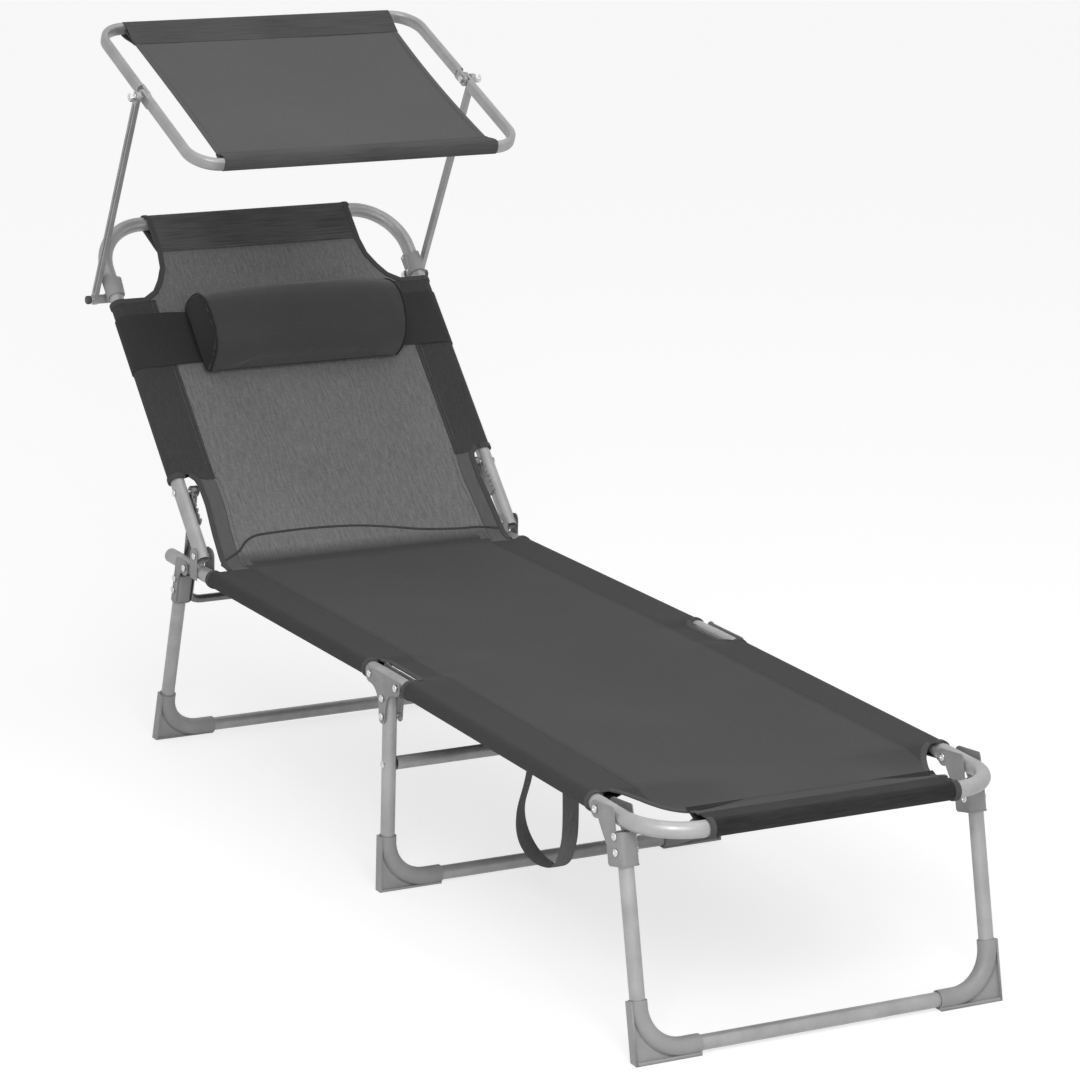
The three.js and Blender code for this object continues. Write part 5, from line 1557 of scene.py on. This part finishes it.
def hood_hem(label, end, width):
    """The hem sleeve round one bar, closing on the sheet from above and below."""
    work = Work()
    rx, rz = hood.width / 2 + hood.slack, hood.height / 2 + hood.slack
    bar = [(hood.depth + rx * math.sin(a), rz * math.cos(a)) for a in stations(0, math.pi, 0.16)]
    top = [(hood.depth - width * (1 - t), hood.opening + (rz - hood.opening) * smooth(t) ** 0.8)
           for t in stations(0, 0.92, 0.12)]
    path = top + bar + [(x, -z) for x, z in reversed(top)]
    lengths, shares = travelled(path), even(-1, 1, 32)

    def point(i, j):
        (x, z), share = path[i], shares[j]
        return HOOD @ Vector((end * x, share * (hood_half(x) + hood.hem_over), z - hood_sag(x, share)))
    work.grid(len(path), len(shares), point, lambda i, j: (lengths[i], shares[j] * hood.cloth_half))
    finished(f"hood_hem_{label}", work, Matrix(), hem_weave, f"canopy_{label}",
             rests_on=["hood_sheet", f"canopy_frame_{label}"])


def hood_edges():
    """The narrow turned hems along the canopy's two free sides, and their stitches."""
    work, rows, up = Work(), [], upward(HOOD)
    for _, side in SIDES:
        points = [HOOD @ Vector((x, side * (hood_half(x) - hood.hem_inset),
                                 -hood.edge_sag * hood.sag * (1 - (x / HOOD_INNER) ** 2)))
                  for x in stations(-HOOD_INNER, HOOD_INNER, 0.01)]
        inward = HOOD.to_3x3() @ Vector((0, -side * 0.006, 0.0011))
        ribbon(work, points, [up] * len(points), *hood.side_hem)
        rows.append(([point + inward for point in points], up))
    finished("hood_side_hems", work, Matrix(), hood_weave, HOOD_CLOTH)
    sewn("hood_stitching", rows, thread, HOOD_CLOTH)


# Carry strap
def carry_strap():
    """A loop of webbing that hangs from the foot section."""
    base = AXIS_Z + cloth.level
    top = base - strap.under - seat_sag((strap.rear + strap.front) / 2, strap.place)
    control = [(strap.rear + along, base - strap.drop * share) for along, share in strap.bends]
    control = [(strap.rear, top)] + control + [(strap.front, top)]
    line = [Vector((x, strap.place, z)) for x, z in smooth_curve(control, 8)]
    work = Work()
    faces = []
    for i in range(len(line)):
        turn = math.radians(strap.turn) * (1 - smooth((i / len(line) - 0.2) / 0.3))
        across = Matrix.Rotation(turn, 3, "Z") @ ACROSS
        faces.append(tangent(line, i).cross(across).normalized())
    ribbon(work, line, faces, strap.width, strap.thickness)
    finished("carry_strap_web", work, FOOT, web_weave, "foot_section", "carry_strap")


# Assembly
def build_side(label, side):
    rail_line = [Vector((x, side * rail.spread, AXIS_Z)) for x in (rail.rear_end, SEAM - clear.seam / 2)]
    pipe(f"rail_{label}", rail_line, UP, SEAT, "seat_frame", bevel=edges.tube)
    rail_cap(label, side)
    hinge_plates(label, side)
    pin(f"hinge_pin_{label}", side, HINGE_FLANKS, SEAT.inverted() @ FOLD, SEAT, "seat_frame")
    mid_plates(label, side)
    for name, at in (("seat_pivot_pin", -middle.reach), ("foot_pivot_pin", middle.reach)):
        pin(f"{name}_{label}", side, FLANKS, Vector((at, 0, AXIS_Z)), MIDDLE, "mid_leg")
    foot_shoe(f"mid_foot_{label}", side, 0, MIDDLE, "mid_leg")
    flanks = (prop.spread - prop.radius, rail.spread + tube.radius)
    pin(f"prop_pin_{label}", side, flanks, Vector((-prop.pivot, 0, 0)), BACK, "backrest")
    collar_piece(label, side)
    canopy_arm(label, side)
    near = rail.spread - collar.ear / 2
    thumb_screw(f"lower_screw_{label}", side, near, pivot("canopy_swing"), dark_moulded)
    thumb_screw(f"upper_screw_{label}", side, hood.spread - hood.width / 2, pivot("canopy_tilt"), zinc)
    catch(label, side)


def build_leg(label, spec):
    body, place = f"{label}_leg", pivot(f"{label}_leg_fold")
    matrix, centre = leg_frame(spec), leg_pivot(spec, f"{label}_leg_fold")
    lean = math.radians(abs(spec.tilt))
    top = (place.z - tube.radius - leg.head_gap) / math.cos(lean) - leg.radius * math.tan(lean)
    leg_tube(f"{body}_frame", lean, top, matrix, body)
    plate_rivets(f"{body}_rivets", [centre.z - drop for drop in bracket.rivets], matrix, body)
    for hand, side in SIDES:
        leg_bracket(f"{body}_bracket_{hand}", side, spec, centre, body)
        foot_shoe(f"{label}_foot_{hand}", side, spec.tilt, matrix, body)
        pin(f"{body}_pin_{hand}", side, FLANKS, centre, matrix, body)


def u_line(start, end, z, bend):
    return bent(looped(Vector((start, 0, z)), Vector((end, 0, z)), rail.spread), bend)


def build_frame():
    for label, side in SIDES:
        build_side(label, side)
    pipe("backrest_frame", u_line(back.tail, -back.length, 0, back.bend), UP, BACK, "backrest")
    foot_line = u_line(SEAM + clear.seam / 2, foot_end.cross_tube, AXIS_Z, foot_end.bend)
    pipe("foot_frame", foot_line, UP, FOOT, "foot_section")
    leg_tube("mid_leg_frame", 0, AXIS_Z - tube.radius - middle.top_gap, MIDDLE, "mid_leg")
    plate_rivets("mid_leg_rivets", [AXIS_Z - drop for drop in middle.rivets], MIDDLE, "mid_leg")
    crossbar()
    build_leg("rear", rear_leg)
    build_leg("front", front_leg)
    hood_frame("rear", -1)
    hood_frame("front", 1)
    prop_rod()


def build_cloth():
    seat_sling()
    foot_sling()
    back_sling()
    for label, side in SIDES:
        side_panel(label, side)
    top_sleeve()
    bindings()
    seat_seams()
    back_seams()
    head_band()
    head_pillow()
    hood_sheet()
    for label, end, width in hood_hems:
        hood_hem(label, end, width)
    hood_edges()
    carry_strap()


# Studio: pale floor, white surroundings, soft lamps and the camera at the photograph's place
view = Sizes(lens=139.07, azimuth=61.294, elevation=14.723, roll=1.4715, distance=6.4535,
             target=(-0.0122, 0.23999, 0.300), shift=(0.0383, -0.0018))


def camera():
    data = bpy.data.cameras.new("camera")
    data.lens, data.sensor_width = view.lens, 36
    data.shift_x, data.shift_y = view.shift
    data.clip_end = 50
    made = bpy.data.objects.new("camera", data)
    bpy.context.scene.collection.objects.link(made)
    a, e, r = (math.radians(x) for x in (view.azimuth, view.elevation, view.roll))
    away = Vector((math.sin(a) * math.cos(e), -math.cos(a) * math.cos(e), math.sin(e)))
    right = Vector((math.cos(a), math.sin(a), 0))
    upward = away.cross(right)
    rolled_right = right * math.cos(r) + upward * math.sin(r)
    rolled_up = upward * math.cos(r) - right * math.sin(r)
    turn = Matrix((rolled_right, rolled_up, away)).transposed()
    target = Vector(view.target) + Vector((SHIFT, 0, 0))
    made.matrix_world = Matrix.Translation(target + away * view.distance) @ turn.to_4x4()
    bpy.context.scene.camera = made


def surroundings():
    """White where it is seen, and an even light where it is not."""
    world = bpy.data.worlds.new("studio")
    bpy.context.scene.world = world
    world.use_nodes = True
    nodes = Nodes(world.node_tree)
    light = world.node_tree.nodes["Background"]
    light.inputs["Color"].default_value = (1, 1, 1, 1)
    light.inputs["Strength"].default_value = 0.50
    shown = nodes.node("ShaderNodeBackground", {"Color": (1, 1, 1, 1), "Strength": 1.0})
    mix = nodes.node("ShaderNodeMixShader", {0: nodes.seen(), 1: light.outputs[0], 2: shown.outputs[0]})
    nodes.feed(world.node_tree.nodes["World Output"].inputs[0], mix.outputs[0])


def floor():
    bpy.ops.mesh.primitive_plane_add(size=40, location=(0, 0, -0.0005))
    ground = bpy.context.object
    ground.name = "floor"
    shader = Shader("floor", 0.9, specular=0.1)
    seen = shader.seen()
    shader.colour(shader.mixed(seen, (0.91, 0.91, 0.91, 1), (0.42, 0.42, 0.42, 1)))
    shader.surface.inputs["Emission Color"].default_value = (1, 1, 1, 1)
    shader.feed(shader.surface.inputs["Emission Strength"], shader.math("MULTIPLY", seen, 0.70))
    ground.data.materials.append(shader.material)


def lamp(name, place, size, power):
    """A broad lamp that faces the middle of the lounger."""
    data = bpy.data.lights.new(name, "AREA")
    data.size, data.energy = size, power
    made = bpy.data.objects.new(name, data)
    made.location = place
    made.rotation_euler = (Vector((0.1, 0, 0.4)) - Vector(place)).to_track_quat("-Z", "Y").to_euler()
    bpy.context.scene.collection.objects.link(made)


camera()
bpy.context.scene.view_settings.view_transform = "Standard"
surroundings()
floor()
lamp("key", (2.5, -1.2, 2.1), 1.4, 45)
lamp("fill", (0.5, 0.8, 3.8), 2.5, 20)
build_frame()
build_cloth()
bpy.context.view_layer.update()
